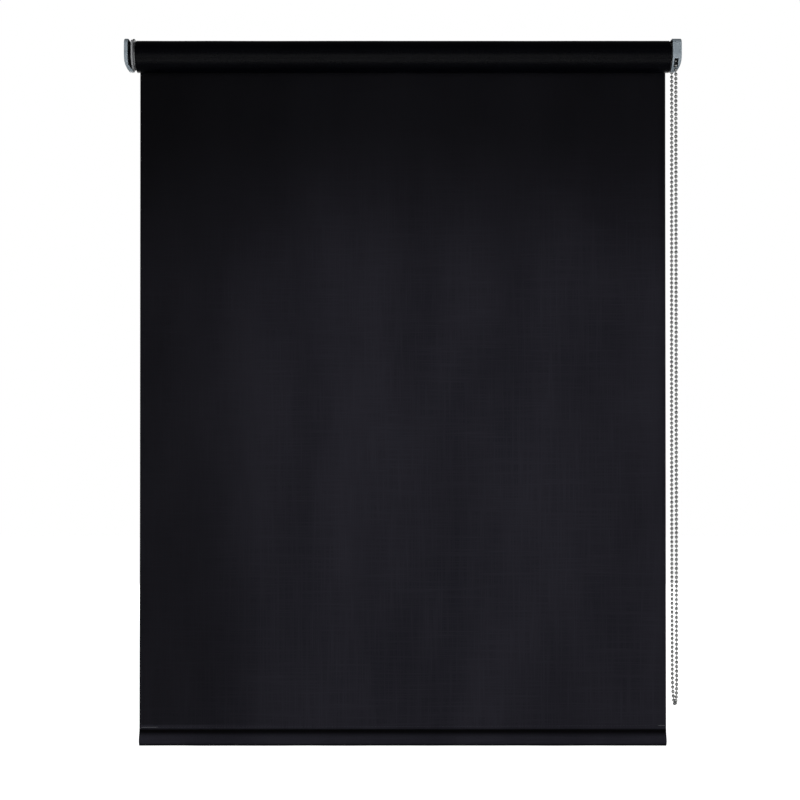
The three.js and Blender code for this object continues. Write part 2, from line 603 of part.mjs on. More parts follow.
function chainWheel() {
  const toothRadius = PITCH_RADIUS + TOOTH_RISE;
  let wheel = rod(toothRadius, WHEEL_IN, WHEEL_OUT, 90)
    .add(rod(NECK_RADIUS, HUB_IN, WHEEL_IN + PAST, 64));
  for (let i = 0; i < WHEEL_POCKETS; i += 1) {
    const angle = 2 * Math.PI * i / WHEEL_POCKETS;
    wheel = wheel.subtract(rod(BEAD_RADIUS + GAP + WHEEL_SIDE, WHEEL_IN, WHEEL_OUT + PAST, 12,
      AXIS_Y + PITCH_RADIUS * Math.cos(angle), PITCH_RADIUS * Math.sin(angle)));
  }
  const linkHalf = LINK_RADIUS + GAP;
  wheel = wheel.subtract(ring(PITCH_RADIUS - linkHalf - GAP, toothRadius + PAST,
    CHAIN_X - linkHalf, CHAIN_X + linkHalf, 60));
  return wheel
    .add(sector(FINGER_INNER, FINGER_OUTER, -FINGER_ANGLE, FINGER_ANGLE,
      SLEEVE_IN + SLEEVE_WEB + FINGER_CLEAR, HUB_IN + WELD))
    .subtract(rod(CORE_RADIUS + GAP, HUB_IN - PAST, WHEEL_OUT + PAST));
}
add('chain_wheel', chainWheel(), 'darkPlastic');

const HEAD_OUT = SLEEVE_IN - GAP;
const coreShaft = turned([
  [0, HEAD_OUT - CORE_HEAD], [CORE_RADIUS - CORE_CHAMFER, HEAD_OUT - CORE_HEAD],
  [CORE_RADIUS + CORE_LIP, HEAD_OUT - CORE_CHAMFER], [CORE_RADIUS + CORE_LIP, HEAD_OUT],
  [CORE_RADIUS, HEAD_OUT], [CORE_RADIUS, WHEEL_OUT], [0, WHEEL_OUT],
], 40);
const spigot = box(WHEEL_OUT - PAST, PLATE_OUT, AXIS_Y - SPIGOT_SIDE / 2, AXIS_Y + SPIGOT_SIDE / 2,
  -SPIGOT_SIDE / 2, SPIGOT_SIDE / 2)
  .intersect(rod(CORE_RADIUS, WHEEL_OUT - 2 * PAST, PLATE_OUT + PAST, 40));
add('clutch_core', coreShaft.add(spigot), 'lightPlastic');

// A closely wound spring gripping the core, both ends turned outward as tangs.
function clutchSpring(from) {
  const radius = CORE_RADIUS + GRIP_ROOM + CLUTCH_WIRE / 2;
  const sweep = 360 * CLUTCH_TURNS - 2 * TANG_ANGLE;
  const count = Math.round(sweep / 24);
  const at = (reach, degrees, x) => new THREE.Vector3(
    x, AXIS_Y + reach * Math.sin(radians(degrees)), reach * Math.cos(radians(degrees)));
  const run = CLUTCH_COIL_PITCH * sweep / 360;
  const points = [at(TANG_REACH, TANG_ANGLE, from), at(radius + TANG_BEND, TANG_ANGLE, from)];
  for (let i = 1; i < count; i += 1) {
    points.push(at(radius, TANG_ANGLE + sweep * i / count, from - run * i / count));
  }
  points.push(at(radius + TANG_BEND, -TANG_ANGLE, from - run),
    at(TANG_REACH, -TANG_ANGLE, from - run));
  return wire(points, CLUTCH_WIRE / 2, 70, 6);
}
const coilRun = CLUTCH_COIL_PITCH * (CLUTCH_TURNS - TANG_ANGLE / 180);
const outerSpringFrom = HUB_IN - GAP - CLUTCH_WIRE / 2;
add('clutch_spring_outer', clutchSpring(outerSpringFrom), 'steel');
add('clutch_spring_inner',
  clutchSpring(outerSpringFrom - coilRun - CLUTCH_WIRE - 2 * GAP), 'steel');

const rib = sector(FINGER_INNER, SLEEVE_INNER + WELD, 2 * TANG_ANGLE - FINGER_ANGLE,
  360 - 2 * TANG_ANGLE + FINGER_ANGLE, SLEEVE_IN + SLEEVE_WEB - WELD, SLEEVE_OUT);
add('drive_sleeve', ring(SLEEVE_INNER, SLEEVE_OUTER, SLEEVE_IN, SLEEVE_OUT)
  .add(ring(CORE_RADIUS + GAP, SLEEVE_OUTER, SLEEVE_IN, SLEEVE_IN + SLEEVE_WEB))
  .add(rib)
  .add(fins(SLEEVE_IN, SLEEVE_OUT, SLEEVE_OUTER - WELD)), 'lightPlastic');

// ---- Bead chain -------------------------------------------------------------------------

// The beads that lie in the wheel, joined by their wire links, with the first beads of each
// strand. Distances run along the chain from the rear pitch point, over the top.
function beadPlace(distance) {
  const overTop = Math.PI * PITCH_RADIUS;
  if (distance < 0) return [PITCH_RADIUS, distance];
  if (distance > overTop) return [-PITCH_RADIUS, overTop - distance];
  const angle = distance / PITCH_RADIUS;
  return [PITCH_RADIUS * Math.cos(angle), PITCH_RADIUS * Math.sin(angle)];
}

const REAR_BEADS = 2;
const FRONT_BEADS = 9;

function chainOnWheel() {
  const pieces = [];
  for (let i = -REAR_BEADS; i <= FRONT_BEADS; i += 1) {
    const [y, z] = beadPlace(i * BEAD_PITCH);
    const bead = new THREE.SphereGeometry(BEAD_RADIUS, 8, 6);
    bead.translate(CHAIN_X, AXIS_Y + y, z);
    pieces.push(solidOf(bead));
    if (i === FRONT_BEADS) continue;
    const [nextY, nextZ] = beadPlace((i + 1) * BEAD_PITCH);
    const link = new THREE.CylinderGeometry(LINK_RADIUS, LINK_RADIUS, BEAD_PITCH, 6);
    link.rotateX(Math.atan2(nextZ - z, nextY - y));
    link.translate(CHAIN_X, AXIS_Y + (y + nextY) / 2, (z + nextZ) / 2);
    pieces.push(solidOf(link));
  }
  return wasm.Manifold.union(pieces);
}
add('chain_on_wheel', chainOnWheel(), 'nickel');

// The free loop's route, from the front exit down, round and up to the rear exit. X is
// counted from the wheel's plane and Y from the roller's axis.
const chainRoute = [
  [0, -14.32, -12.0], [0, -14.32, -60], [0, -14.32, -170], [0, -14.32, -300],
  [0, -14.32, -430], [0, -14.32, -560], [0, -14.32, -690], [0, -14.32, -790],
  [0.1, -14.3, -838], [0.2, -13.3, -853], [0.3, -10.7, -864.5], [0.3, -6.1, -873.5],
  [0.3, 0.4, -877.5], [0.2, 6.9, -873.5], [0.1, 11.4, -864.5], [0, 14, -853],
  [-0.1, 15.2, -838], [-0.2, 15.3, -790], [-0.4, 15.3, -690], [-0.5, 15.3, -560],
  [-0.5, 15.3, -430], [-0.3, 15.2, -300], [-0.1, 15, -170], [0, 14.6, -60],
  [0, 14.32, -15.0],
].map(([x, y, z]) => new THREE.Vector3(CHAIN_X + x, AXIS_Y + y, z));

// Sampled evenly between its points, which lie closer together round the bottom.
class ChainCurve extends THREE.CatmullRomCurve3 {
  getPointAt(u, target) {
    return this.getPoint(u, target);
  }

  getTangentAt(u, target) {
    return this.getTangent(u, target);
  }
}

function chainLoop() {
  const section = new THREE.Shape();
  const sides = 8;
  for (let i = 0; i < sides; i += 1) {
    const angle = 2 * Math.PI * (i + 0.5) / sides;
    const [u, v] = [BEAD_RADIUS * Math.cos(angle), BEAD_RADIUS * Math.sin(angle)];
    if (i === 0) section.moveTo(u, v);
    else section.lineTo(u, v);
  }
  const steps = 3 * (chainRoute.length - 1);
  const extrudePath = new ChainCurve(chainRoute, false, 'centripetal');
  return solidOf(new THREE.ExtrudeGeometry(section, { steps, extrudePath }));
}
add('chain_loop', chainLoop(), 'nickel');

export default blind;
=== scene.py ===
# %% [markdown]
# # A roller blind with a bead chain, in Blender
# A roller blind is a screen of coated cloth wound on a tube. A bar in the hem keeps it straight, and
# a bead chain at one end winds it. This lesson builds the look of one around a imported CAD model: the
# model is the frame that says where each piece goes, and Blender gives each piece its true surface.
# The CAD nodes come in first, and their box is kept, so that the finished look can be held to it.

# %% Load the frame
import math
import random

import bmesh
import bpy
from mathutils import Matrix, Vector, noise


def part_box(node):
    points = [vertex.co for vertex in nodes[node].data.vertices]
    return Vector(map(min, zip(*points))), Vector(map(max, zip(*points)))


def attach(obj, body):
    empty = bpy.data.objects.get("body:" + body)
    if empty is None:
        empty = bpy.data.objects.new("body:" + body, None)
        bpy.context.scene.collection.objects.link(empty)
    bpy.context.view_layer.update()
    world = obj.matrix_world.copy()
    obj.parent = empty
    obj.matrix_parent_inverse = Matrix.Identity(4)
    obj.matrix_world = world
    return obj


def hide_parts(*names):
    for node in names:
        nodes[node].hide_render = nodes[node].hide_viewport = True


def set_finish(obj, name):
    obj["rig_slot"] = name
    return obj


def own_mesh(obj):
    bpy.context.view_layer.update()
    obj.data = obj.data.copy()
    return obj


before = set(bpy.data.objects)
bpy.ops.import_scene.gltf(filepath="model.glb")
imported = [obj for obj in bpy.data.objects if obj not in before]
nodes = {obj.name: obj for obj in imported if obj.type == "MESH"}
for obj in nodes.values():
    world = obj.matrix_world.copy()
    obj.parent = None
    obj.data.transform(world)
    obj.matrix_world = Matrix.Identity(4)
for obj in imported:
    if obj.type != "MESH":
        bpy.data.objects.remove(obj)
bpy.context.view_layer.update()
scene = bpy.context.scene
mm = 0.001

# %% [markdown]
# ## Stations on the blind
# Everything turns about the roller's axis or hangs below it, so a few stations are read from the
# frame's boxes once and used by every later cell. Reading them keeps the look and the CAD together:
# if the blind is made wider or longer, this script follows.

# %% Stations
roll_low, roll_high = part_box("fabric_roll")
screen_low, screen_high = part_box("hanging_fabric")
axis_y = (roll_low.y + roll_high.y) / 2
roll_radius = (roll_high.z - roll_low.z) / 2
half_width = roll_high.x
screen_y = (screen_low.y + screen_high.y) / 2
cloth = screen_high.y - screen_low.y
print("roll radius", round(roll_radius / mm, 2), "mm, screen", round(2 * half_width / mm), "mm wide")

# %% [markdown]
# ## Camera
# A blind is best seen from the front through a long lens, about level with its middle, so that the
# roll's underside shows. A 63 mm lens from 1.9 m keeps the two sides of the screen almost parallel.
# The camera comes first because the length of free chain that it can't see is limited.

# %% Camera
camera = bpy.data.objects.new("camera", bpy.data.cameras.new("camera"))
scene.collection.objects.link(camera)
camera.data.lens = 63.05
camera.data.sensor_width = 36
camera.location = (-3.8 * mm, -1.934, -0.4785)
camera.rotation_euler = (math.radians(90.38), 0, 0)
scene.camera = camera
scene.view_settings.view_transform = "Standard"
print("camera", [round(x, 3) for x in camera.location], "lens", camera.data.lens)

# %% [markdown]
# ## Turning points and faces into a piece
# Most pieces here are regular grids: rows of points joined to the next row. One helper joins a grid,
# whose rows may close round into rings, and another closes a tube of rings at both ends. Grids make
# clean quads, which shade smoothly and take modifiers well, where a boolean of primitives would leave
# slivers.

# %% Grid helpers
def grid_faces(rows, columns, closed=False, start=0):
    """Faces that join rows of points; closed joins each row's last point to its first."""
    faces = []
    for r in range(rows - 1):
        for c in range(columns if closed else columns - 1):
            here, after = r * columns, (r + 1) * columns
            c2 = (c + 1) % columns
            faces.append([start + i for i in (here + c, here + c2, after + c2, after + c)])
    return faces


def tube_faces(rings, sides, start=0):
    """Faces of a tube of rings, with a cap on its first ring and on its last."""
    last = start + (rings - 1) * sides
    caps = [[start + k for k in reversed(range(sides))], [last + k for k in range(sides)]]
    return grid_faces(rings, sides, closed=True, start=start) + caps


print("grid helpers ready")

# %% [markdown]
# ## Making and finishing a mesh
# Points and faces become an object in one place, so that every piece is welded, faces outward and
# shades smoothly up to its creases.

# %% Mesh helpers
def face_out(mesh):
    """Welds points that coincide and turns every face outward."""
    b = bmesh.new()
    b.from_mesh(mesh)
    bmesh.ops.remove_doubles(b, verts=b.verts, dist=1e-7)
    bmesh.ops.recalc_face_normals(b, faces=b.faces)
    b.to_mesh(mesh)
    b.free()


def piece(name, points, faces, crease=35):
    """An object made of these points and faces, smooth except at edges sharper than crease."""
    mesh = bpy.data.meshes.new(name)
    mesh.from_pydata([tuple(p) for p in points], [], faces)
    mesh.validate()
    face_out(mesh)
    mesh.shade_smooth()
    mesh.set_sharp_from_angle(angle=math.radians(crease))
    made = bpy.data.objects.new(name, mesh)
    scene.collection.objects.link(made)
    return made


def settle(made, crease=35):
    """Applies a piece's modifiers, so that its mesh is its final shape."""
    seen = made.evaluated_get(bpy.context.evaluated_depsgraph_get())
    mesh = bpy.data.meshes.new_from_object(seen)
    made.modifiers.clear()
    made.data = mesh
    mesh.shade_smooth()
    mesh.set_sharp_from_angle(angle=math.radians(crease))
    return made


def eased(made, width, segments=2, crease=35):
    """Rounds a piece's hard edges, as a mould or a press leaves them."""
    bevel = made.modifiers.new("eased edges", "BEVEL")
    bevel.width = width
    bevel.segments = segments
    bevel.limit_method = "ANGLE"
    bevel.angle_limit = math.radians(crease)
    return settle(made, crease)


def fit(made, body, slot, node=None):
    """Sets the body a piece rides on, its slot, and the CAD node it stands for, if it has one."""
    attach(made, body)
    if node:
        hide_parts(node)
    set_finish(made, slot)


print("mesh helpers ready")

# %% [markdown]
# ## The route of the chain
# The bead chain is an endless loop that hangs free below the wheel: down the front, round, and up the
# back, where it swings out a little from the wheel before it returns. It is limp, so only its own
# weight shapes it. Its points are given in millimetres from the wheel's middle.

# %% Chain route
chain_low, chain_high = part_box("chain_on_wheel")
chain_x = (chain_low.x + chain_high.x) / 2
bead_radius = (chain_high.x - chain_low.x) / 2
wheel_reach = 14.324 * mm
route = [Vector((chain_x + x * mm, axis_y + y * mm, z * mm)) for x, y, z in [
    (0, -14.32, -12.0), (0, -14.32, -60), (0, -14.32, -170), (0, -14.32, -300),
    (0, -14.32, -430), (0, -14.32, -560), (0, -14.32, -690), (0, -14.32, -790),
    (0.1, -14.3, -838), (0.2, -13.3, -853), (0.3, -10.7, -864.5), (0.3, -6.1, -873.5),
    (0.3, 0.4, -877.5), (0.2, 6.9, -873.5), (0.1, 11.4, -864.5), (0, 14, -853),
    (-0.1, 15.2, -838), (-0.2, 15.3, -790), (-0.4, 15.3, -690), (-0.5, 15.3, -560),
    (-0.5, 15.3, -430), (-0.3, 15.2, -300), (-0.1, 15, -170), (0, 14.6, -60),
    (0, 14.32, -15.0)]]
print(len(route), "points, the lowest at", round(min(p.z for p in route) / mm, 1), "mm")

# %% [markdown]
# ## Walking along a curve
# A bead chain bends smoothly, and its beads are evenly spaced along the bend and not along the straight
# line. So the route's points are first joined by one smooth curve of many short steps. The curve is
# then walked, so that a bead can be set at any distance along it.

# %% Smooth curve
def smooth_line(points, steps=24):
    """A centripetal Catmull-Rom curve through the points, as closely spaced points."""
    ends = [2 * points[0] - points[1], *points, 2 * points[-1] - points[-2]]
    line = []
    for a, b, c, d in zip(ends, ends[1:], ends[2:], ends[3:]):
        t1 = (b - a).length ** 0.5
        t2 = t1 + (c - b).length ** 0.5
        t3 = t2 + (d - c).length ** 0.5
        for i in range(steps):
            t = t1 + (t2 - t1) * i / steps
            p = a.lerp(b, t / t1)
            q = b.lerp(c, (t - t1) / (t2 - t1))
            r = c.lerp(d, (t - t2) / (t3 - t2))
            line.append(p.lerp(q, t / t2).lerp(q.lerp(r, (t - t1) / (t3 - t1)),
                                               (t - t1) / (t2 - t1)))
    return line + [points[-1]]


def walk(line, distances):
    """(place, direction) at each distance along a line; the distances rise."""
    found, i, gone = [], 0, 0.0
    for d in distances:
        while i < len(line) - 2 and gone + (line[i + 1] - line[i]).length < d:
            gone += (line[i + 1] - line[i]).length
            i += 1
        along = line[i + 1] - line[i]
        found.append((line[i] + along.normalized() * (d - gone), along.normalized()))
    return found


chain_line = smooth_line(route)
chain_length = sum((b - a).length for a, b in zip(chain_line, chain_line[1:]))
print("free chain", round(chain_length, 3), "m")

# %% [markdown]
# ## One bead
# Each bead of such a chain is a ball rolled from thin metal strip, with a small lip where the wire
# goes in at either end. A ball alone would do from far away, but the lips and the thin necks between
# the beads are what make it read as chain. One bead is a short profile turned about the chain's own
# direction.

# %% Turned shapes and the bead's profile
bead_pitch = 6 * mm
wire_radius = 0.5 * mm
lip_radius = 0.95 * mm
bead_steps = 8


def frame_along(direction):
    """Two directions square to this one and to each other."""
    side = direction.cross(Vector((1, 0, 0)))
    side = side.normalized() if side.length > 0.1 else direction.cross(Vector((0, 1, 0))).normalized()
    return side, direction.cross(side).normalized()


def turned_along(points, faces, place, direction, profile, sides):
    """Adds a closed turned shape; profile is (distance along, radius), from end to end."""
    u, v = frame_along(direction)
    start = len(points)
    for along, radius in profile:
        for k in range(sides):
            a = 2 * math.pi * k / sides
            points.append(place + direction * along + (u * math.cos(a) + v * math.sin(a)) * radius)
    faces += tube_faces(len(profile), sides, start)


lip_angle = math.asin(lip_radius / bead_radius)
bead_profile = [(-bead_radius * 0.97, lip_radius * 0.72), (-bead_radius * 0.985, lip_radius * 0.95)]
for step in range(bead_steps + 1):
    angle = -math.pi / 2 + lip_angle + (math.pi - 2 * lip_angle) * step / bead_steps
    bead_profile.append((bead_radius * math.sin(angle), bead_radius * math.cos(angle)))
bead_profile += [(-along, radius) for along, radius in reversed(bead_profile[:2])]
print("bead of", round(2 * bead_radius / mm, 2), "mm, turned from", len(bead_profile), "rings")

# %% [markdown]
# ## Beads on a wire
# The wire between two beads is a thin tube that ends inside both of them. It could be one long tube,
# but a short one for each gap stays hidden where the beads are and bends with the chain. All beads and
# wires go in one mesh, as hundreds of objects would be slow to move and to export.

# %% Bead chain
bead_sides = 12
wire_sides = 6


def beads_on_wire(name, places, leads=()):
    """Beads at these places, with wire from each to the next and to the lead points."""
    points, faces = [], []
    for place, direction in places:
        turned_along(points, faces, place, direction, bead_profile, bead_sides)
    centres = [place for place, _ in places]
    for a, b in [*zip(centres, centres[1:]), *leads]:
        gap = b - a
        turned_along(points, faces, a, gap.normalized(),
                     [(0.5 * bead_radius, wire_radius), (gap.length / 2, wire_radius * 0.86),
                      (gap.length - 0.5 * bead_radius, wire_radius)], wire_sides)
    return piece(name, points, faces, crease=50)


bead_count = round((chain_length - bead_pitch) / bead_pitch) + 1
spacing = (chain_length - bead_pitch) / (bead_count - 1)
bead_places = walk(chain_line, [bead_pitch / 2 + spacing * i for i in range(bead_count)])
bead_chain = beads_on_wire("bead_chain", bead_places)
fit(bead_chain, "root", "chain_metal", "chain_loop")
print(bead_count, "free beads,", round(spacing / mm, 3), "mm apart")

# %% [markdown]
# ## Beads in the wheel
# Inside the cover the chain runs over a pocketed wheel, so the beads follow a half circle and then
# leave it straight down on either side. The last bead of each strand meets the free chain, and a
# short wire joins them, so the loop is whole.

# %% Beads in the wheel
def wheel_place(distance):
    """(place, direction) along the chain, from the rear pitch point and over the top."""
    over = math.pi * wheel_reach
    if distance < 0:
        return Vector((chain_x, axis_y + wheel_reach, distance)), Vector((0, 0, 1))
    if distance > over:
        return Vector((chain_x, axis_y - wheel_reach, over - distance)), Vector((0, 0, -1))
    a = distance / wheel_reach
    return (Vector((chain_x, axis_y + wheel_reach * math.cos(a), wheel_reach * math.sin(a))),
            Vector((0, -math.sin(a), math.cos(a))))


wheel_places = [wheel_place(bead_pitch * i) for i in range(-2, 10)]
drum_beads = beads_on_wire("beads_in_wheel", wheel_places, leads=[
    (bead_places[-1][0], wheel_places[0][0]), (wheel_places[-1][0], bead_places[0][0])])
fit(drum_beads, "root", "chain_metal", "chain_on_wheel")
print(len(wheel_places), "beads in the wheel")

# %% [markdown]
# ## Waves in the cloth
# The screen is a coated blackout cloth about half a millimetre thick. The bar in the hem pulls it
# flat, so a cloth simulation would give a plane and hide the small faults that make it look like
# cloth. They are put in directly: long shallow waves that fade towards the roll and the bar, and cut
# edges that curl back by under a millimetre. The last part above the bar is left flat, as it is the
# part that still shows beside the hem when the blind is wound up.

# %% Waves and curled edges
flat_from = 0.87
slow_wave = 1.3 * mm
ripple_height = 0.7 * mm
curl_height = 0.7 * mm
curl_width = 4 * mm


def wave(x, drop):
    """How far the screen stands off its plane at x, a share drop of the way down."""
    held = math.sin(math.pi * min(1, max(0, drop / flat_from))) ** 0.6
    slow = noise.noise(Vector((x * 9, drop * 1.1, 3.1)))
    ripple = noise.noise(Vector((x * 34, drop * 0.9, 7.7)))
    left = 0.35 + 0.65 * max(0, -x / half_width)
    return (slow_wave * slow + ripple_height * left * ripple) * held


def edge_curl(x):
    """How far the cut edge of the cloth curls at x."""
    from_edge = half_width - abs(x)
    return curl_height * math.exp(-(from_edge / curl_width) ** 2)


print("waves up to", round((slow_wave + ripple_height) / mm, 1), "mm, flat from", flat_from, "of the way")

# %% [markdown]
# ## A sheet with two faces
# Real cloth has a thickness, and a single layer of faces would show none at its edges. So a sheet is
# drawn as two skins, front and back, that are joined round the rim. Its side view is a line of points,
# which may run straight, round a bar or in a spiral, so the screen, the roll and the hem can all be made
# by this one helper.

# %% Closed sheets
def cloth_sheet(name, columns, line, turn=lambda x, share: (0, 0)):
    """A thin closed sheet across the blind. line is its centreline as (y, z, out_y, out_z,
    thickness); turn gives a move (along out, along x) at x and a share of the way down."""
    rows = len(line)
    points = []
    for side in (1, -1):
        for r, (y, z, out_y, out_z, thick) in enumerate(line):
            for c, x in enumerate(columns):
                off, shift = turn(x, r / (rows - 1))
                reach = off + side * thick / 2
                points.append((x + shift, y + out_y * reach, z + out_z * reach))
    n = len(columns)
    faces = grid_faces(rows, n)
    back = [[i + rows * n for i in reversed(f)] for f in grid_faces(rows, n)]
    rim = [*range(n),
           *[r * n + n - 1 for r in range(1, rows)],
           *[(rows - 1) * n + c for c in range(n - 2, -1, -1)],
           *[r * n for r in range(rows - 2, 0, -1)]]
    sides = [[a, b, b + rows * n, a + rows * n] for a, b in zip(rim, rim[1:] + rim[:1])]
    return piece(name, points, faces + back + sides, crease=50)


def across(count, edge=0.6):
    """Places across the blind, closer together near both edges."""
    places = []
    for i in range(count + 1):
        t = 2 * i / count - 1
        places.append(half_width * (t * (1 - edge / 2) + edge / 2 * math.sin(t * math.pi / 2)))
    places = [x * half_width / places[-1] for x in places]
    near = [half_width - d * mm for d in (0.4, 1.2, 2.4, 4, 6, 9)]
    inner = [x for x in places if abs(x) < half_width - 10 * mm]
    return sorted([*inner, *near, *[-x for x in near], half_width, -half_width])


print("sheets have", len(across(170)), "points across at their finest")

# %% [markdown]
# ## The hanging screen
# The screen hangs from the back of the roll down into the hem, which it enters by a millimetre so that
# no light shows between them. As the blind is wound up the hem rises, and the screen has to get shorter
# with it. Here the screen is built at its full length and given a mesh of its own.

# %% Hanging screen
into_hem = 1.2 * mm
drop_length = into_hem - screen_low.z
screen_rows = 110
screen_line = [(screen_y, -drop_length * r / screen_rows, 1, 0, cloth) for r in range(screen_rows + 1)]


def screen_turn(x, share):
    """The waves and the curl together; the curl fades in below the roll and out before the hem."""
    curl = edge_curl(x) * min(1, 6 * share) * min(1, 6 * max(0, flat_from - share))
    return wave(x, share) + curl, 0


screen = cloth_sheet("screen", across(170), screen_line, screen_turn)
fit(screen, "root", "blackout_fabric", "hanging_fabric")
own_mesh(screen)

# %% [markdown]
# ## The outer turn
# The screen comes off the back of the roll, and its last turn is the surface that shows. That turn
# is one sheet, level with the screen where it leaves, and lying close on the roll from the top round
# to the underside, where it thins away under itself. Its cloth is even, so it can stand still while
# the roller turns inside it.

# %% Outer turn
turn_steps = 96
turn_sweep = math.radians(350)
lift_ends = math.radians(80)
unevenness = 0.10 * mm
off_plane = screen_y - axis_y
on_roll = roll_radius + cloth / 2
turn_line = []
for step in range(turn_steps + 1):
    angle = turn_sweep * (1 - step / turn_steps)
    lift = max(0, 1 - angle / lift_ends)
    radius = on_roll + (off_plane - on_roll) * lift * lift
    thick = cloth * min(1, 0.12 + step / 10)
    turn_line.append((axis_y + radius * math.cos(angle), radius * math.sin(angle),
                      math.cos(angle), math.sin(angle), thick))


def roll_unevenness(x, share):
    """A slight unevenness, as a wound roll has."""
    return unevenness * noise.noise(Vector((x * 20, share * 2, 5))), 0


outer_turn = cloth_sheet("screen_outer_turn", across(60), turn_line, roll_unevenness)
fit(outer_turn, "root", "blackout_fabric")
print("outer turn", round(math.degrees(turn_sweep)), "degrees, radius", round(on_roll / mm, 2), "mm")

# %% [markdown]
# ## The turns on the tube
# Seen from the end, wound cloth shows its turns as a spiral. A solid ring would show a blank face, so
# the roll is one long strip wound in a spiral, with a hair of space between turns and each turn set
# sideways by a fraction of a millimetre, as a roll is in use. It rides on the roller and turns.

# %% Wound cloth
turns_left = 4
side_drift = 0.25 * mm
tube_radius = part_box("roller_tube")[1].z
inner_radius = tube_radius + 0.3 * mm
turn_pitch = (roll_radius - inner_radius) / turns_left
spiral_steps = 64
spiral = []
for step in range(turns_left * spiral_steps + 1):
    turns = step / spiral_steps
    ends = min(1, step / 8, (turns_left * spiral_steps - step) / 12)
    radius = inner_radius + turn_pitch * (turns + 0.5) * turns_left / (turns_left + 0.5)
    angle = 2 * math.pi * turns + math.pi / 2
    spiral.append((axis_y + radius * math.cos(angle), radius * math.sin(angle),
                   math.cos(angle), math.sin(angle), turn_pitch * 0.8 * max(0.08, ends)))


def sideways_drift(x, share):
    """Each turn lies a little to one side of the last."""
    return 0, side_drift * math.sin(9.3 * share * turns_left)


wound_cloth = cloth_sheet("wound_cloth", across(30), spiral, sideways_drift)
fit(wound_cloth, "roller", "blackout_fabric", "fabric_roll")
print(turns_left, "turns,", round(turn_pitch / mm, 3), "mm apart")

# %% [markdown]
# ## The side view of the hem pocket
# The bottom of the screen is folded over the bar and sewn, which makes a pocket shaped like a drop.
# Above the seam both plies reach a few millimetres up the screen. The pocket is one strip of cloth,
# so its side view is one line: down the front, round the oval bar and up the back. Where the straight
# part meets the oval it has to touch it smoothly, and an arcsine gives that angle.

# %% Side view of the pocket
hem_low, hem_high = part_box("hem_pocket")
bar_low, bar_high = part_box("bottom_bar")
bar_y, bar_z = (bar_low.y + bar_high.y) / 2, (bar_low.z + bar_high.z) / 2
oval_y = (hem_high.y - hem_low.y) / 2 - cloth / 2
oval_z = bar_z - hem_low.z - cloth / 2
stitch_pitch = 4.2 * mm
seam_z = hem_high.z + 1.3 * mm
pocket_top = hem_high.z + 3.6 * mm
ply_gap = cloth / 2
ply_bow = 0.35 * mm
straight_steps = 18
bar_steps = 34
seam_up = (hem_high.z - bar_z) / oval_z
touch = math.asin(1 / seam_up)
pocket_line = []


def pocket_point(y, z, out_y, out_z):
    """Adds a point of the side view, y from the bar's middle, and the way out of the cloth there."""
    length = math.hypot(out_y, out_z)
    pocket_line.append((bar_y + y, z, out_y / length, out_z / length, cloth))


touch_y, touch_z = oval_y * math.cos(touch), bar_z + oval_z * math.sin(touch)
for i in range(straight_steps):
    z = pocket_top + (touch_z - pocket_top) * i / straight_steps
    share = max(0, (hem_high.z - z) / (hem_high.z - touch_z))
    bow = math.sin(math.pi * share) * ply_bow
    pocket_point(-(ply_gap + (touch_y - ply_gap) * share ** 1.25) + bow, z, -1, 0.28 * share)
for i in range(bar_steps + 1):
    angle = math.pi - touch + (math.pi + 2 * touch) * i / bar_steps
    pocket_point(oval_y * math.cos(angle), bar_z + oval_z * math.sin(angle),
                 math.cos(angle) / oval_y, math.sin(angle) / oval_z)
for y, z, out_y, out_z, thick in reversed(pocket_line[:straight_steps]):
    pocket_line.append((2 * bar_y - y, z, -out_y, out_z, thick))
print("pocket", round((pocket_top - hem_low.z) / mm, 1), "mm high,", len(pocket_line), "points round")

# %% [markdown]
# ## The hem pocket
# The stitches pull the two plies together, so the cloth puckers a little between them, and lower down
# it is tight on the bar. The puckers are small waves with the stitches' own spacing, which die out
# within a few millimetres of the seam. Below them only a slow unevenness is left.

# %% Hem pocket
pucker_height = 0.16 * mm
looseness = 0.25 * mm
pucker_reach = 3.2 * mm
pocket_cells = 520


def pucker(x, share):
    """How far the pocket's cloth stands off its line at x, a share of the way round."""
    rows = len(pocket_line) - 1
    z = pocket_line[round(share * rows)][1]
    near_seam = math.exp(-((seam_z - z) / pucker_reach) ** 2)
    swing = math.sin(2 * math.pi * x / stitch_pitch)
    loose = noise.noise(Vector((x * 22, z * 60, 1.7)))
    gathered = pucker_height * near_seam * swing * (0.7 + 0.5 * loose)
    return gathered + looseness * loose * (1 - near_seam), 0


pocket_columns = [half_width * (2 * i / pocket_cells - 1) for i in range(pocket_cells + 1)]
hem_pocket = cloth_sheet("hem_pocket_cloth", pocket_columns, pocket_line, pucker)
fit(hem_pocket, "hem", "blackout_fabric", "hem_pocket")
print("pocket cloth", len(hem_pocket.data.polygons), "faces, puckers every",
      round(stitch_pitch / mm, 1), "mm")

# %% [markdown]
# ## Stitches
# A row of lockstitch closes the pocket. Each stitch is a short raised length of thread that dips into
# the cloth at both ends, so it is modelled as a slim spindle, bent a little away from the cloth in its
# middle. A texture would be simpler, but it would cast no shadow and vanish from the side.

# %% One stitch
stitch_length = 3.2 * mm
stitch_rise = 0.30 * mm
thread_radius = 0.22 * mm


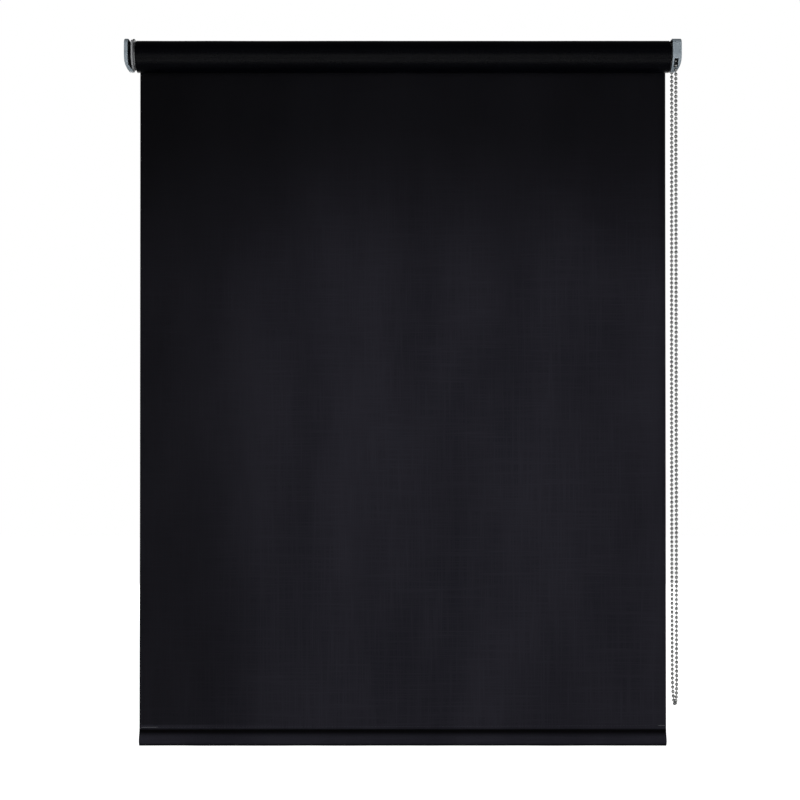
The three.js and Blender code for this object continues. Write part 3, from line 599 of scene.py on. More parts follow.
def stitch(points, faces, x, y, z, outward, tilt):
    """Adds one stitch about (x, y, z), bowed outward and tilted up towards the right."""
    sides, rings = 6, 6
    start = len(points)
    for r in range(rings + 1):
        t = r / rings
        rise = math.sin(math.pi * t)
        for k in range(sides):
            a = 2 * math.pi * k / sides
            size = thread_radius * (0.35 + 0.65 * rise)
            points.append((x + (t - 0.5) * stitch_length,
                           y + outward * (stitch_rise * rise) + size * math.cos(a),
                           z + size * math.sin(a) + tilt * (t - 0.5) * stitch_length))
    faces += tube_faces(rings + 1, sides, start)


print("stitch", round(stitch_length / mm, 1), "mm long, one every", round(stitch_pitch / mm, 1), "mm")

# %% [markdown]
# ## The seam
# The seam runs on both faces of the pocket and climbs a little from left to right, as one guided by
# hand does. It is sewn back over itself at both ends to lock it, and there the stitches lie two deep
# and closer together. Each stitch gets its own small tilt from a seeded random number, so the row
# isn't too regular and still comes out the same each time.

# %% Seam
locked = 22 * mm
seam_climb = 1.3 * mm
over_cloth = 0.08 * mm
second_row = 0.42 * mm
second_shift = 0.45 * stitch_pitch
tilt_range = (0.01, 0.07)
lock_start = 3.5 * mm
lock_pitch = 3.1 * mm


def row_of_stitches(name, places, rows=1):
    """A stitch at each place on both faces of the pocket, one above the other if rows is 2."""
    points, faces = [], []
    for x in places:
        height = seam_z + seam_climb * x / half_width
        for outward in (-1, 1):
            y = screen_y + outward * (ply_gap + cloth / 2 + over_cloth)
            for row in range(rows):
                tilt = random.uniform(*tilt_range) * (1 - 2 * row)
                stitch(points, faces, x + second_shift * row, y, height + second_row * row,
                       outward, tilt)
    made = piece(name, points, faces, crease=60)
    fit(made, "hem", "blackout_fabric")
    return made


random.seed(7)
free_row = half_width - locked
count = int(2 * free_row / stitch_pitch)
stitches = row_of_stitches("hem_stitches", [(i - (count - 1) / 2) * stitch_pitch for i in range(count)])
lock_places = [side * (half_width - lock_start - lock_pitch * i)
               for side, turns in ((-1, 7), (1, 3)) for i in range(turns)]
lock_stitches = row_of_stitches("lock_stitches", lock_places, 2)
print(count, "stitches along the hem, and", len(lock_places), "double ones that lock it")

# %% Size of the screen
print("flat screen", round(2 * half_width / mm), "by", round(drop_length / mm, 1), "mm")

# %% [markdown]
# ## The side outline of a cover
# The covers are thin moulded shells that hide the brackets. From the side they have a flat top, a
# small round corner at the front, a round belly about the roller's axis, and a chin that rises to
# the wall. The outline is drawn once, with the same number of points at each station, so that the
# stations can be joined into a loft. Some points sit exactly at the sides of the chain's two slots.

# %% Side outline of a cover
cover_low, cover_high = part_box("right_cover")
belly = -cover_low.z
cover_top = cover_high.z
cover_out = cover_high.x
cover_rear = cover_high.y
front_corner = 8 * mm
chin_drop = 12 * mm
chin_middle = -7 * mm
slot_half = 2.8 * mm
slot_top = 6.5 * mm
top_steps = 8
corner_steps = 8
front_steps = 5
belly_steps = (4, 14, 12)


def side_outline(inset):
    """Points (y, z) from the rear of the top, round the front, to the rear of the chin."""
    radius, corner = belly - inset, front_corner - inset
    front = axis_y - radius
    points = []
    for i in range(top_steps + 1):
        t = i / top_steps
        points.append((cover_rear + (front + corner - cover_rear) * t, cover_top - inset))
    for i in range(1, corner_steps + 1):
        a = math.pi / 2 * (1 + i / corner_steps)
        points.append((front + corner + corner * math.cos(a),
                       cover_top - inset - corner + corner * math.sin(a)))
    for i in range(1, front_steps):
        points.append((front, (cover_top - inset - corner) * (1 - i / front_steps)))
    chin = Vector((-axis_y, inset - chin_drop))
    tangent = 2 * math.pi + math.atan2(chin.y, chin.x) - math.acos(radius / chin.length)
    marks = [math.pi, math.pi + math.asin(slot_top / belly),
             math.pi + math.acos((wheel_reach - slot_half) / belly), tangent]
    for (a, b), n in zip(zip(marks, marks[1:]), belly_steps):
        points += [(axis_y + radius * math.cos(a + (b - a) * i / n),
                    radius * math.sin(a + (b - a) * i / n)) for i in range(n)]
    touch_y, touch_z = axis_y + radius * math.cos(tangent), radius * math.sin(tangent)
    for y in (touch_y, axis_y + wheel_reach - slot_half, axis_y + wheel_reach,
              axis_y + wheel_reach + slot_half, chin_middle, cover_rear):
        points.append((y, touch_z + (inset - chin_drop - touch_z) * (y - touch_y) / -touch_y))
    return points


outline_count = len(side_outline(0))
print("cover outline of", outline_count, "points, belly", round(belly / mm, 1), "mm")

# %% [markdown]
# ## Stations across a cover
# From the front, the lower outer corner of a cover is swept away in a quarter oval, and its outer face
# meets the sides in a small round edge. Both come from the loft: each station may be lifted at the
# bottom, for the swept corner, and drawn in, for the round edge. Stations crowd together towards the
# outer face, where both curves turn fastest.

# %% Stations of a cover
outer_edge = 1.4 * mm
cheek_in = 6 * mm
cheek_up = 13 * mm


def cover_stations(rim):
    """Stations across a cover, from its rim: x, lift of the bottom, inset of the outline."""
    cheek = cover_out - cheek_in
    places = [rim, *[cheek + cheek_in * math.sin(math.radians(a)) for a in
                     (10, 28, 40, 50, 58, 66, 73, 79, 84, 88, 90)]]
    if rim < cheek:
        places += [chain_x - slot_half, chain_x, chain_x + slot_half, (rim + chain_x - slot_half) / 2]
    stations = []
    for x in sorted(p for p in places if p >= rim):
        t = max(0, (x - cheek) / cheek_in)
        e = max(0, x - (cover_out - outer_edge)) / outer_edge
        stations.append((x, cheek_up * (1 - math.sqrt(max(0, 1 - t * t))),
                         outer_edge * 0.6 * (1 - math.sqrt(max(0, 1 - e * e)))))
    return stations


print("right cover has", len(cover_stations(cover_low.x)), "stations")

# %% [markdown]
# ## The shell of a cover
# The chain leaves the right cover through two slots. As outline points and stations lie exactly at the
# slots' sides, a slot is only a matter of leaving out the faces between them, which keeps the mesh
# clean where a boolean cut would not. The left cover's rim reaches inward along the bottom, as a lip
# under the end of the roll. Solidify then gives the wall, with a material of its own for the inside,
# which is painted shade, and a fine bevel rounds the rim and the slots, as moulded edges are.

# %% Shell of a cover
cover_wall = 1.3 * mm
lip_top = -14 * mm
lip_height = 9.5 * mm
lip_curve = 1.5
lifted_blunt = 2 * mm
front_slot_start = (top_steps + 1) + corner_steps + (front_steps - 1) + belly_steps[0]
front_slot = range(front_slot_start, front_slot_start + belly_steps[1])
# The chin ends in six points, and the rear slot lies between the second and the fourth of them.
rear_slot = range(outline_count - 5, outline_count - 3)


def cover_shell(name, rim, lip_end, mirror, slotted):
    """A cover lofted from its rim outward; at the bottom the rim reaches to lip_end."""
    stations = cover_stations(rim)
    points = []
    for i, (x, lift, inset) in enumerate(stations):
        floor = lift - belly
        blunt = min(lifted_blunt, lift * 0.4)
        for y, z in side_outline(inset):
            d = z - floor - inset
            soft = (d + math.sqrt(d * d + blunt * blunt)) / 2 if z < 0 else d
            place_z = floor + inset + soft
            lip = min(1, max(0, (lip_top - place_z) / lip_height)) ** lip_curve if i == 0 else 0
            reach = x - (rim - lip_end) * lip
            points.append((-reach if mirror else reach, y, place_z))
    faces = []
    n = outline_count
    for s in range(len(stations) - 1):
        for i in range(n - 1):
            in_slot = (slotted and stations[s][0] >= chain_x - slot_half - 1e-6
                       and stations[s + 1][0] <= chain_x + slot_half + 1e-6
                       and (i in front_slot or i in rear_slot))
            if not in_slot:
                faces.append([s * n + i, s * n + i + 1, (s + 1) * n + i + 1, (s + 1) * n + i])
    faces.append([(len(stations) - 1) * n + i for i in range(n)])
    shell = piece(name, points, faces)
    outward = sum((f.normal.x * f.center.x for f in shell.data.polygons if f.area > 1e-4), 0.0)
    if outward < 0:
        shell.data.flip_normals()
    for _side in ("outside", "inside"):
        shell.data.materials.append(None)
    wall = shell.modifiers.new("wall", "SOLIDIFY")
    wall.thickness = cover_wall
    wall.offset = -1
    wall.use_even_offset = True
    # The inside faces take the second material, which paints shade there.
    wall.material_offset = 1
    settle(shell)
    return eased(shell, 0.3 * mm, 2, 40)


print("front slot takes", len(front_slot), "faces of the outline, rear slot", len(rear_slot))

# %% [markdown]
# ## The two covers
# The right cover is deep, as it hides the chain wheel, and the left one is a shallow cap. Both come
# from the same shell, and the left is mirrored. The shallow rim is set from the outer face, and the
# lip's end is read from the frame.

# %% Both covers
left_depth = 5 * mm
left_rim = cover_out - left_depth
left_lip_end = -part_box("left_cover")[1].x
covers = []
for name, rim, lip_end, mirror, slotted in (
        ("left_cover", left_rim, left_lip_end, True, False),
        ("right_cover", cover_low.x, cover_low.x, False, True)):
    shell = cover_shell(name + "_shell", rim, lip_end, mirror, slotted)
    fit(shell, "root", "cover_plastic", name)
    covers.append(shell)
    print(shell.name, len(shell.data.polygons), "faces")

# %% [markdown]
# ## Hard parts with eased edges
# Brackets, disc, drum and its cap are right in shape already, but CAD edges are perfectly sharp, and
# a sharp edge catches no light. Real pressed and moulded parts have a small radius everywhere. A copy
# of each node is cleaned of needless triangles and given a fine bevel. They are all fixed to the wall,
# so they ride on the root.

# %% Eased copies
def eased_copy(node, width, slot):
    """A copy of a CAD node with merged flat faces and eased edges."""
    mesh = nodes[node].data.copy()
    b = bmesh.new()
    b.from_mesh(mesh)
    bmesh.ops.remove_doubles(b, verts=b.verts, dist=1e-6)
    bmesh.ops.dissolve_limit(b, angle_limit=math.radians(0.6), verts=b.verts, edges=b.edges)
    b.to_mesh(mesh)
    b.free()
    made = bpy.data.objects.new(node + "_part", mesh)
    scene.collection.objects.link(made)
    eased(made, width)
    fit(made, "root", slot, node)
    return made


hard_parts = {}
for node, width, slot in (
        ("left_bracket", 0.25, "bracket_steel"),
        ("right_bracket", 0.25, "bracket_steel"),
        ("end_disc", 0.3, "light_plastic"),
        ("chain_housing", 0.25, "housing_plastic"),
        ("housing_cap", 0.25, "housing_plastic")):
    hard_parts[node] = eased_copy(node, width * mm, slot)
    print(node, len(hard_parts[node].data.polygons), "faces")

# %% [markdown]
# ## The thread of a screw
# Four pan-head screws hold the brackets. Their threads stand out behind the brackets, where the wall
# would be, so they are cut as a real spiral: a grid turned about the screw's axis, whose radius rises
# and falls with both the height and the angle. Stacked rings would be simpler, but they read as a
# ribbed pin. The domed head is turned in the same grid.

# %% Screw thread and head
thread_pitch = 1.5 * mm
thread_depth = 0.5 * mm
thread_outside = 2.0 * mm
rows_a_turn = 7
point_length = 6 * mm
plain_shank = 1.6 * mm
screw_sides = 24


def threaded(low, high, seat, head_height):
    """Points and faces of a screw along y, from its tip to its head, and the middle of its top."""
    x, z = (low.x + high.x) / 2, (low.z + high.z) / 2
    outer, head = thread_outside, (high.x - low.x) / 2
    rows, y = [], high.y
    while y > seat + plain_shank:
        rows.append((y, None))
        y -= thread_pitch / rows_a_turn
    # The shank, the head's flat underside, and then its dome.
    crown = [(seat + 1.0 * mm, outer - thread_depth), (seat, outer - 0.3 * mm), (seat, head * 0.96),
             (seat - 0.15 * mm, head)]
    for i in range(1, 9):
        a = math.pi / 2 * i / 8
        crown.append((seat - head_height * (0.35 + 0.65 * math.sin(a)), head * (0.35 + 0.65 * math.cos(a))))
    rows += crown
    points = []
    for y, radius in rows:
        for k in range(screw_sides):
            a = 2 * math.pi * k / screw_sides
            r = radius
            if r is None:
                tip = min(1, (high.y - y) / point_length + 0.08)
                phase = (y / thread_pitch + k / screw_sides) % 1
                r = (outer - thread_depth) * tip + thread_depth * max(0, 1 - abs(phase - 0.5) * 4) * tip
            points.append((x + r * math.cos(a), y, z + r * math.sin(a)))
    return points, tube_faces(len(rows), screw_sides), Vector((x, seat - head_height, z))


print("thread of", round(2 * thread_outside / mm, 1), "mm, pitch", round(thread_pitch / mm, 1), "mm")

# %% [markdown]
# ## Four screws with a cross recess
# The recess for the driver is two crossed wedges, wider at the top than at the bottom so that the
# driver centres itself. A boolean is right here, as the cut is small, sharp and in a domed face where
# no grid line would follow it.

# %% Wall screws
recess_long = 1.9 * mm
recess_short = 0.42 * mm
head_height = 2.2 * mm


def cross_cutter(top):
    """Two crossed wedges that cut a screw's recess."""
    points, faces = [], []
    for long_x, long_z in ((recess_long, recess_short), (recess_short, recess_long)):
        start = len(points)
        for y, taper in ((-1 * mm, 1.25), (1.5 * mm, 0.55)):
            for sx, sz in ((-1, -1), (1, -1), (1, 1), (-1, 1)):
                points.append(top + Vector((sx * long_x * taper, y, sz * long_z * taper)))
        faces += [[start + i for i in f] for f in
                  ((0, 1, 2, 3), (7, 6, 5, 4), (0, 4, 5, 1), (1, 5, 6, 2), (2, 6, 7, 3), (3, 7, 4, 0))]
    return piece("cutter", points, faces)


screws = []
for node in ("left_screw_lower", "left_screw_upper", "right_screw_lower", "right_screw_upper"):
    low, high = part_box(node)
    points, faces, top = threaded(low, high, low.y + head_height, head_height)
    screw = piece(node + "_threaded", points, faces, crease=40)
    cutter = cross_cutter(top)
    cut = screw.modifiers.new("recess", "BOOLEAN")
    cut.object = cutter
    cut.operation = "DIFFERENCE"
    cut.solver = "EXACT"
    cut.use_self = True
    settle(screw, 40)
    bpy.data.objects.remove(cutter)
    fit(screw, "root", "bright_steel", node)
    screws.append(screw)
print(len(screws), "screws,", len(screws[0].data.polygons), "faces each")

# %% [markdown]
# ## The spring behind the pin
# A coil spring inside the left plug pushes the pin out into its bracket. When the pin is pressed in to
# take the blind down, the coils close up towards the plug's floor. Here the spring is a copy of the
# CAD node, shaded smooth, and it rides on the roller.

# %% Pin spring
pin_spring = bpy.data.objects.new("pin_spring", nodes["idler_spring"].data.copy())
scene.collection.objects.link(pin_spring)
settle(pin_spring, 60)
fit(pin_spring, "roller", "bright_steel", "idler_spring")
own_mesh(pin_spring)

# %% [markdown]
# ## Working with materials
# A finish is more than a colour. Each one below starts from object coordinates in metres, so its
# grain has a true size and doesn't depend on unwrapping, and then lets colour, roughness and bump
# vary together. A small helper keeps the node work short: it adds a node, sets its sockets and joins
# what it is given.

# %% Node helpers
def finish(name):
    """A new material with its node tree, shader and object coordinates."""
    material = bpy.data.materials.new(name)
    material.use_nodes = True
    tree = material.node_tree
    shader = tree.nodes["Principled BSDF"]
    place = tree.nodes.new("ShaderNodeTexCoord").outputs["Object"]
    return material, tree, shader, place


def add_node(tree, kind, settings=None, **sockets):
    """Adds a node. settings are its own options; sockets are values or outputs to join, by the
    socket's name, or by its number as i0, i1 and so on."""
    made = tree.nodes.new("ShaderNode" + kind)
    for key, value in (settings or {}).items():
        setattr(made, key, value)
    for key, value in sockets.items():
        socket = made.inputs[int(key[1:])] if key[0] == "i" and key[1:].isdigit() else made.inputs[key]
        if isinstance(value, bpy.types.NodeSocket):
            tree.links.new(value, socket)
        else:
            socket.default_value = value
    return made


print("node helpers ready")

# %% [markdown]
# ## Grain, patches and bump
# Nearly every finish is made of the same few things: a noise drawn out along the grain, a range that it
# is mapped to, two tones that it mixes, and a bump that follows it. Each gets a short helper, so that
# the recipes below read as recipes.

# %% Texture helpers
def stretched(tree, place, scale):
    """Coordinates scaled along each axis, so that a texture is drawn out along the smallest."""
    return add_node(tree, "Mapping", Vector=place, Scale=scale).outputs["Vector"]


def speckle(tree, place, scale, detail=3.0):
    """A noise of this many cells a metre."""
    return add_node(tree, "TexNoise", Vector=place, Scale=scale, Detail=detail).outputs["Fac"]


def spread(tree, value, low, high, at=(0.3, 0.7)):
    """Maps a texture's value onto a range."""
    return add_node(tree, "MapRange", i0=value, i1=at[0], i2=at[1], i3=low, i4=high).outputs[0]


def two_tones(tree, value, dark, light, at=(0.3, 0.7)):
    """A colour between dark and light that follows a texture's value."""
    ramp = add_node(tree, "ValToRGB", Fac=value)
    for stop, position, colour in zip(ramp.color_ramp.elements, at, (dark, light)):
        stop.position = position
        stop.color = (*colour, 1)
    return ramp.outputs["Color"]


def combined(tree, operation, first, second):
    """Two values joined by an arithmetic node."""
    return add_node(tree, "Math", {"operation": operation}, i0=first, i1=second).outputs[0]


def bumped(tree, shader, height, strength, distance, under=None):
    """Bump from a texture, laid over an earlier bump if one is given."""
    bump = add_node(tree, "Bump", Height=height, Strength=strength, Distance=distance)
    if under:
        tree.links.new(under, bump.inputs["Normal"])
    tree.links.new(bump.outputs["Normal"], shader.inputs["Normal"])
    return bump.outputs["Normal"]


def set_shader(tree, shader, **sockets):
    """Sets the shader's inputs by name, to values or to outputs to join."""
    for key, value in sockets.items():
        socket = shader.inputs[key.replace("_", " ")]
        if isinstance(value, bpy.types.NodeSocket):
            tree.links.new(value, socket)
        else:
            socket.default_value = value


print("texture helpers ready")

# %% [markdown]
# ## Blackout cloth
# Blackout cloth is a fine plain weave under a matt black coating. The weave is two sets of bands,
# one along each direction of the thread, and a checker that says which thread is on top. Noise drawn
# out along the threads gives the uneven yarn, and a slow noise gives the patches where the coating
# is thicker. It stays almost black, because a blackout cloth gives back very little light.

# %% Weave of the cloth
weave_thread = 0.7 * mm


def wave_scale(length):
    """The scale that gives a wave texture this wavelength."""
    return math.pi / 10 / length


def blackout_cloth(name, dark, light, gloss, shine, painted_shade=None):
    """A cloth finish; painted_shade may darken its colour by place, as painted shade."""
    material, tree, shader, place = finish(name)
    bands = [add_node(tree, "TexWave", {"bands_direction": way, "wave_profile": "SIN"},
                      Vector=place, Scale=wave_scale(weave_thread), Distortion=0.6, Detail=2.0,
                      i4=40.0).outputs["Fac"] for way in ("X", "Z")]
    over = add_node(tree, "TexChecker", Vector=place, Scale=1 / weave_thread).outputs["Fac"]
    weave = add_node(tree, "Mix", i0=over, i2=bands[0], i3=bands[1]).outputs[0]
    warp = speckle(tree, stretched(tree, place, (900, 900, 14)), 1.0)
    weft = speckle(tree, stretched(tree, place, (14, 900, 900)), 1.0)
    yarn = combined(tree, "MAXIMUM", warp, weft)
    patches = speckle(tree, stretched(tree, place, (9, 9, 3)), 1.0, 5.0)
    both = add_node(tree, "Mix", i0=0.45, i2=yarn, i3=patches).outputs[0]
    colour = two_tones(tree, both, dark, light, (0.38, 0.62))
    if painted_shade:
        colour = painted_shade(tree, place, colour)
    set_shader(tree, shader, Base_Color=colour, Roughness=spread(tree, yarn, gloss - 0.05, gloss + 0.08),
               Specular_IOR_Level=shine)
    fine = bumped(tree, shader, weave, 0.35, 0.10 * mm)
    bumped(tree, shader, yarn, 0.30, 0.12 * mm, fine)
    return material


print("weave of", round(weave_thread / mm, 2), "mm threads")

# %% [markdown]
# ## Where the cloth is painted darker
# The same cloth is painted darker in some places. Towards the top of the screen, below the roll, this
# is painted shade, and the colour is also darker towards the left edge. On the hem the crease under the
# seam and the fold at the bottom are painted shade. A second texture could paint this, but the changes
# follow height and width alone. So the place itself is eased from one share of the colour to another,
# and the shares are multiplied.

# %% Darker places
top_shade_band = (-0.06, -0.36)
left_band = (-0.34, -0.10)
crease_band = (hem_high.z - 13 * mm, hem_high.z - 5 * mm)
seam_band = (hem_high.z - 3.5 * mm, hem_high.z - 0.5 * mm)
fold_band = (hem_low.z + 1.2 * mm, hem_low.z + 5 * mm)


def eased_share(tree, value, band, shares):
    """Goes smoothly from the first share to the second as value crosses the band."""
    return add_node(tree, "MapRange", {"interpolation_type": "SMOOTHSTEP"}, i0=value, i1=band[0],
                    i2=band[1], i3=shares[0], i4=shares[1]).outputs[0]


def dimmed(tree, colour, share):
    """A colour times a share."""
    return add_node(tree, "VectorMath", {"operation": "SCALE"}, i0=colour, Scale=share).outputs[0]


def darker_top_and_left(tree, place, colour):
    """Painted shade darkens the top of the screen, below the roll, and the colour is darker towards the
    left.
    """
    apart = add_node(tree, "SeparateXYZ", Vector=place)
    # Painted shade towards the top of the screen, below the roll; the left edge is simply darker.
    down = eased_share(tree, apart.outputs["Z"], top_shade_band, (0.27, 1.0))
    over = eased_share(tree, apart.outputs["X"], left_band, (0.50, 1.0))
    return dimmed(tree, colour, combined(tree, "MULTIPLY", down, over))


def shadowed_fold(tree, place, colour):
    """Painted shade: the pressed crease just below the seam holds no light, and neither does the fold."""
    height = add_node(tree, "SeparateXYZ", Vector=place).outputs["Z"]
    # Painted shade in the crease under the seam and in the fold at the bottom.
    below = eased_share(tree, height, crease_band, (1.0, 0.05))
    above = eased_share(tree, height, seam_band, (0.0, 1.0))
    fold = eased_share(tree, height, fold_band, (0.10, 1.0))
    lit = combined(tree, "MAXIMUM", below, above)
    return dimmed(tree, colour, combined(tree, "MULTIPLY", lit, fold))


print("crease from", [round(z / mm, 1) for z in crease_band], "mm")

# %% [markdown]
# ## Three cloth finishes
# The hanging screen, the roll and the hem are one cloth in three states, so they are one recipe with
# three sets of tones. On the roll the cloth is pulled tight and smooth, so it has a soft gloss, and its
# much blacker tones are painted shade. The screen and the hem carry painted shade by place as well.

# %% Blackout cloth
cloth_finish = blackout_cloth("blackout_cloth", (0.0091, 0.0088, 0.0128), (0.0186, 0.0180, 0.0247),
                              gloss=0.72, shine=0.05, painted_shade=darker_top_and_left)
# The roll's much blacker tones are painted shade on the same cloth.
rolled_shade_finish = blackout_cloth("rolled_cloth_shaded", (0.0005, 0.0006, 0.0012), (0.0011, 0.0012, 0.0022),
                               gloss=0.24, shine=0.055)
hem_finish = blackout_cloth("hem_cloth", (0.0096, 0.0094, 0.0136), (0.0197, 0.0193, 0.0262),
                            gloss=0.70, shine=0.03, painted_shade=shadowed_fold)


def dress(made, material):
    """Gives a piece this one material."""
    made.data.materials.clear()
    made.data.materials.append(material)
    print(material.name, "on", made.name)


for made, material in ((screen, cloth_finish), (outer_turn, rolled_shade_finish),
                       (wound_cloth, rolled_shade_finish), (hem_pocket, hem_finish)):
    dress(made, material)

# %% [markdown]
# ## Sewing thread
# Polyester thread is two or three strands twisted together, and a little shinier than the cloth. A
# slanted wave gives the twist, as bands of light and dark and as bump. Where the seam is sewn over
# twice, at the two locked ends, the thread gets a paler and shinier finish.

# %% Sewing thread
twist_length = 0.45 * mm


def sewing_thread(name, dark, light, shine):
    """A twisted thread's finish."""
    material, tree, shader, place = finish(name)
    twist = add_node(tree, "TexWave", {"bands_direction": "DIAGONAL"}, Vector=place,
                     Scale=wave_scale(twist_length), Distortion=1.0).outputs["Fac"]
    set_shader(tree, shader, Base_Color=two_tones(tree, twist, dark, light),
               Roughness=spread(tree, twist, 0.45, 0.60, (0, 1)), Specular_IOR_Level=shine)
    bumped(tree, shader, twist, 0.5, 0.08 * mm)
    return material


dress(stitches, sewing_thread("sewing_thread", (0.013, 0.013, 0.017), (0.030, 0.030, 0.037), 0.15))
dress(lock_stitches, sewing_thread("paler_thread", (0.070, 0.072, 0.078), (0.130, 0.132, 0.140), 0.4))

# %% [markdown]
# ## Moulded plastics
# The covers, the light inner parts and the black drum are all moulded, and differ in colour and in
# how fine the mould's surface is. A mould is spark-eroded to a fine even grain, which becomes a small
# bump. Handling polishes it in patches, so the roughness has a slower noise of its own, and the
# colour varies by a few hundredths, as dyed plastic does. The covers are grey outside, and their
# inside gets the black finish as painted shade, where little light gets in.

# %% Moulded plastics
mould_grain = 0.35 * mm
mould_depth = 0.02 * mm


def moulded(name, dark, light, gloss):
    """A moulded plastic's finish."""
    material, tree, shader, place = finish(name)
    clouds = speckle(tree, place, 55.0, 4.0)
    pits = speckle(tree, place, 1 / mould_grain, 2.0)
    marks = speckle(tree, stretched(tree, place, (60, 400, 400)), 1.0, 5.0)
    worn = combined(tree, "MULTIPLY", clouds, marks)
    set_shader(tree, shader, Base_Color=two_tones(tree, clouds, dark, light),
               Roughness=spread(tree, worn, gloss - 0.06, gloss + 0.08, (0.15, 0.4)),
               Specular_IOR_Level=0.5)
    bumped(tree, shader, pits, 0.25, mould_depth)
    return material


cover_finish = moulded("cover_plastic", (0.262, 0.312, 0.350), (0.312, 0.366, 0.406), 0.38)
light_finish = moulded("light_plastic", (0.33, 0.336, 0.345), (0.41, 0.416, 0.425), 0.36)
black_and_shade_finish = moulded("black_plastic_and_shade", (0.008, 0.009, 0.011), (0.017, 0.018, 0.021), 0.38)
# Each cover's inside gets the black finish as painted shade.
for made in covers:
    made.data.materials[0] = cover_finish
    made.data.materials[1] = black_and_shade_finish
print([m.name for m in (cover_finish, light_finish, black_and_shade_finish)])

# %% [markdown]
# ## Metals
# Four metals are used: rolled steel sheet for the brackets, drawn steel for pins, screws and springs,
# extruded aluminium for the tube and the bar, and nickel-plated brass for the chain. All have their
# grain in one direction, from rolling, drawing or extruding, so the noise is drawn out that way and
# feeds both roughness and bump. The chain has none, as its beads are tumbled after they are formed.
# The brackets are stoved black, so they reflect as paint does and only the rolling grain shows.

# %% Metals
def metal(name, dark, light, gloss, grain, metallic=1.0, depth=0.01 * mm, shine=0.5):
    """A metal's finish; grain is how many noise cells a metre it has along x, y and z."""
    material, tree, shader, place = finish(name)
    lines = speckle(tree, stretched(tree, place, grain), 1.0, 4.0)
    stains = speckle(tree, place, 38.0, 4.0)
    set_shader(tree, shader, Base_Color=two_tones(tree, stains, dark, light), Metallic=metallic,
               Specular_IOR_Level=shine,
               Roughness=spread(tree, lines, gloss - 0.07, gloss + 0.10))
    bumped(tree, shader, lines, 0.3, depth)
    return material


bracket_finish = metal("bracket_steel", (0.004, 0.0044, 0.005), (0.008, 0.0085, 0.0095), 0.55,
                       (30, 900, 900), 0.0, shine=0.1)
steel_finish = metal("drawn_steel", (0.44, 0.445, 0.45), (0.56, 0.565, 0.57), 0.30, (60, 1500, 1500))
tube_finish = metal("extruded_aluminium", (0.55, 0.56, 0.575), (0.66, 0.67, 0.685), 0.34, (8, 1400, 1400))
chain_finish = metal("chain_nickel", (0.25, 0.255, 0.25), (0.34, 0.345, 0.335), 0.22,
                     (700, 700, 700), depth=0.02 * mm)
print([m.name for m in (bracket_finish, steel_finish, tube_finish, chain_finish)])

# %% [markdown]
# ## Dressing every piece
# Each piece and each CAD node that still shows gets its finish here. A CAD node keeps its mesh, and
# only its material is exchanged. The table is by slot name, so it matches the record's own list. The
# hub and the pegs behind the disc get the dark finish as painted shade, as they stand in the cover's
# shadow.

# %% Assign the finishes
by_slot = {"cover_plastic": cover_finish, "light_plastic": light_finish,
           "housing_plastic": black_and_shade_finish, "bracket_steel": bracket_finish,
           "bright_steel": steel_finish, "tube_aluminium": tube_finish,
           "blackout_fabric": cloth_finish, "chain_metal": chain_finish}
for made in (*hard_parts.values(), *screws, pin_spring, bead_chain, drum_beads):
    dress(made, by_slot[made["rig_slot"]])

disc = hard_parts["end_disc"]
disc_thickness = 2 * mm
behind_plate = 0.2 * mm
disc_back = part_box("end_disc")[1].x - disc_thickness - behind_plate
# Painted shade: the faces behind the disc's plate take the dark finish.
disc.data.materials.append(black_and_shade_finish)
for face in disc.data.polygons:
    if face.center.x < disc_back:
        face.material_index = 1

shown = {"roller_tube": tube_finish, "bottom_bar": tube_finish, "fabric_spline": light_finish,
         "idler_plug": light_finish, "idler_pin": steel_finish,
         "drive_sleeve": light_finish, "chain_wheel": black_and_shade_finish, "clutch_core": light_finish,
         "clutch_spring_outer": steel_finish, "clutch_spring_inner": steel_finish}
for node, material in shown.items():
    for held in nodes[node].material_slots:
        held.material = material
print("left as CAD nodes:", sorted(n for n, o in nodes.items() if not o.hide_render))

# %% [markdown]
# ## Lights
# The main light is a wide soft panel in front. A dim narrow one high up lays one soft band along the
# black roll, and one near the floor lights the undersides. Panels at both sides shape the covers and
# the beads, and one behind keeps the back readable. Small lamps would leave hard spots on the plastic,
# where a panel leaves a band.

# %% Lights
def panel(name, place, aim, size, power):
    """A soft rectangular light at place that faces aim."""
    light = bpy.data.lights.new(name, "AREA")
    light.shape = "RECTANGLE"
    light.size, light.size_y = size
    light.energy = power
    made = bpy.data.objects.new(name, light)
    scene.collection.objects.link(made)
    made.location = place
    made.rotation_euler = (Vector(aim) - Vector(place)).to_track_quat("-Z", "Y").to_euler()
    return made


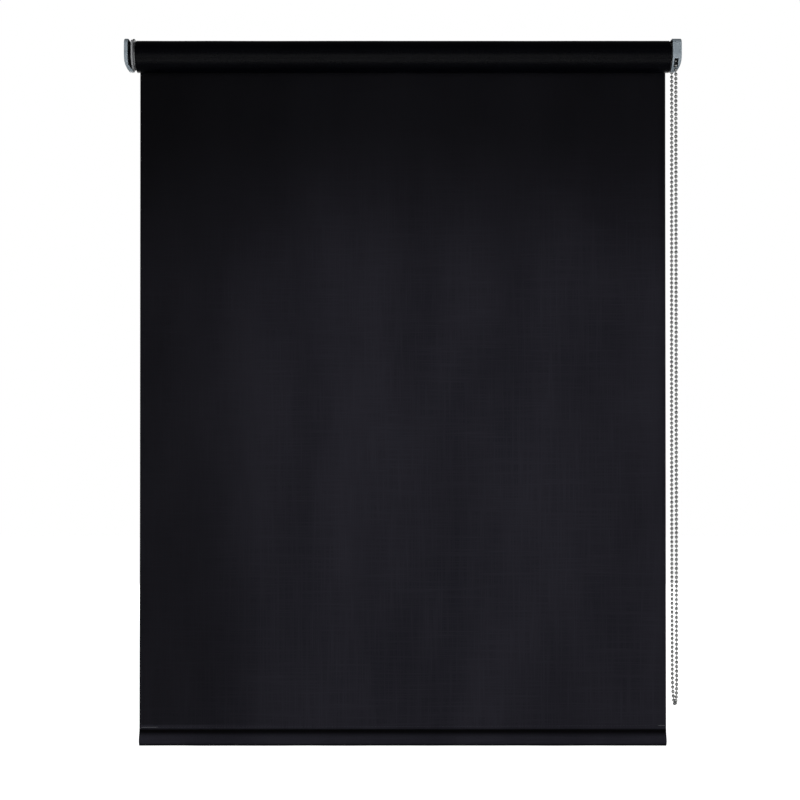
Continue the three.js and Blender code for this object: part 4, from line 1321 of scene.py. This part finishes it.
middle = (0, axis_y, -0.47)
top = (0, axis_y, 0)
for name, place, aim, size, power in (
        ("high_front_panel", (0, -2.5, 1.6), top, (2.6, 0.45), 2.2),
        ("low_front_panel", (0, -3.1, -0.35), middle, (3.0, 1.0), 22),
        ("floor_panel", (0, -1.15, -0.97), top, (2.2, 0.3), 8),
        ("left_panel", (-2.3, -1.2, -0.5), middle, (0.8, 1.8), 18),
        ("right_panel", (2.3, -1.2, -0.5), middle, (0.8, 1.8), 18),
        ("back_panel", (0, 2.4, -0.3), middle, (2.4, 1.2), 20)):
    made = panel(name, place, aim, size, power)
    print(made.name, power, "W")

# %% [markdown]
# ## Floor
# A pale floor below the blind closes the room, and it is part of the stage and not of the blind. It
# glows to the camera only, so that it looks white without lighting the cloth from below.

# %% Floor
floor_height = -1.02
floor_reach = 4
floor_points = [(x * floor_reach, y * floor_reach, floor_height)
                for x, y in ((-1, -1), (1, -1), (1, 1), (-1, 1))]
floor = piece("floor", floor_points, [[0, 1, 2, 3]])
floor_finish, tree, shader, place = finish("pale_floor")
set_shader(tree, shader, Base_Color=two_tones(tree, speckle(tree, place, 3.0),
                                              (0.80, 0.80, 0.80), (0.84, 0.84, 0.84)),
           Roughness=0.8, Emission_Color=(1, 1, 1, 1),
           Emission_Strength=add_node(tree, "LightPath").outputs["Is Camera Ray"])
dress(floor, floor_finish)
print("floor", round(-floor_height / mm), "mm below the roller's axis")

# %% [markdown]
# ## World
# The blind hangs in an even white room. The world is white to the eye but gives little light, so that
# the black cloth stays black. A light path node tells the two apart: what the camera sees directly,
# and what the pieces receive.

# %% World
world = bpy.data.worlds.new("white_room")
scene.world = world
world.use_nodes = True
tree = world.node_tree
seen = tree.nodes["Background"]
seen.inputs["Color"].default_value = (1, 1, 1, 1)
seen.inputs["Strength"].default_value = 1.0
lit = add_node(tree, "Background", Color=(0.96, 0.98, 1, 1), Strength=0.07)
choose = add_node(tree, "MixShader", i0=add_node(tree, "LightPath").outputs["Is Camera Ray"],
                  i1=lit.outputs[0], i2=seen.outputs[0])
tree.links.new(choose.outputs[0], tree.nodes["World Output"].inputs["Surface"])
print("world", world.name)
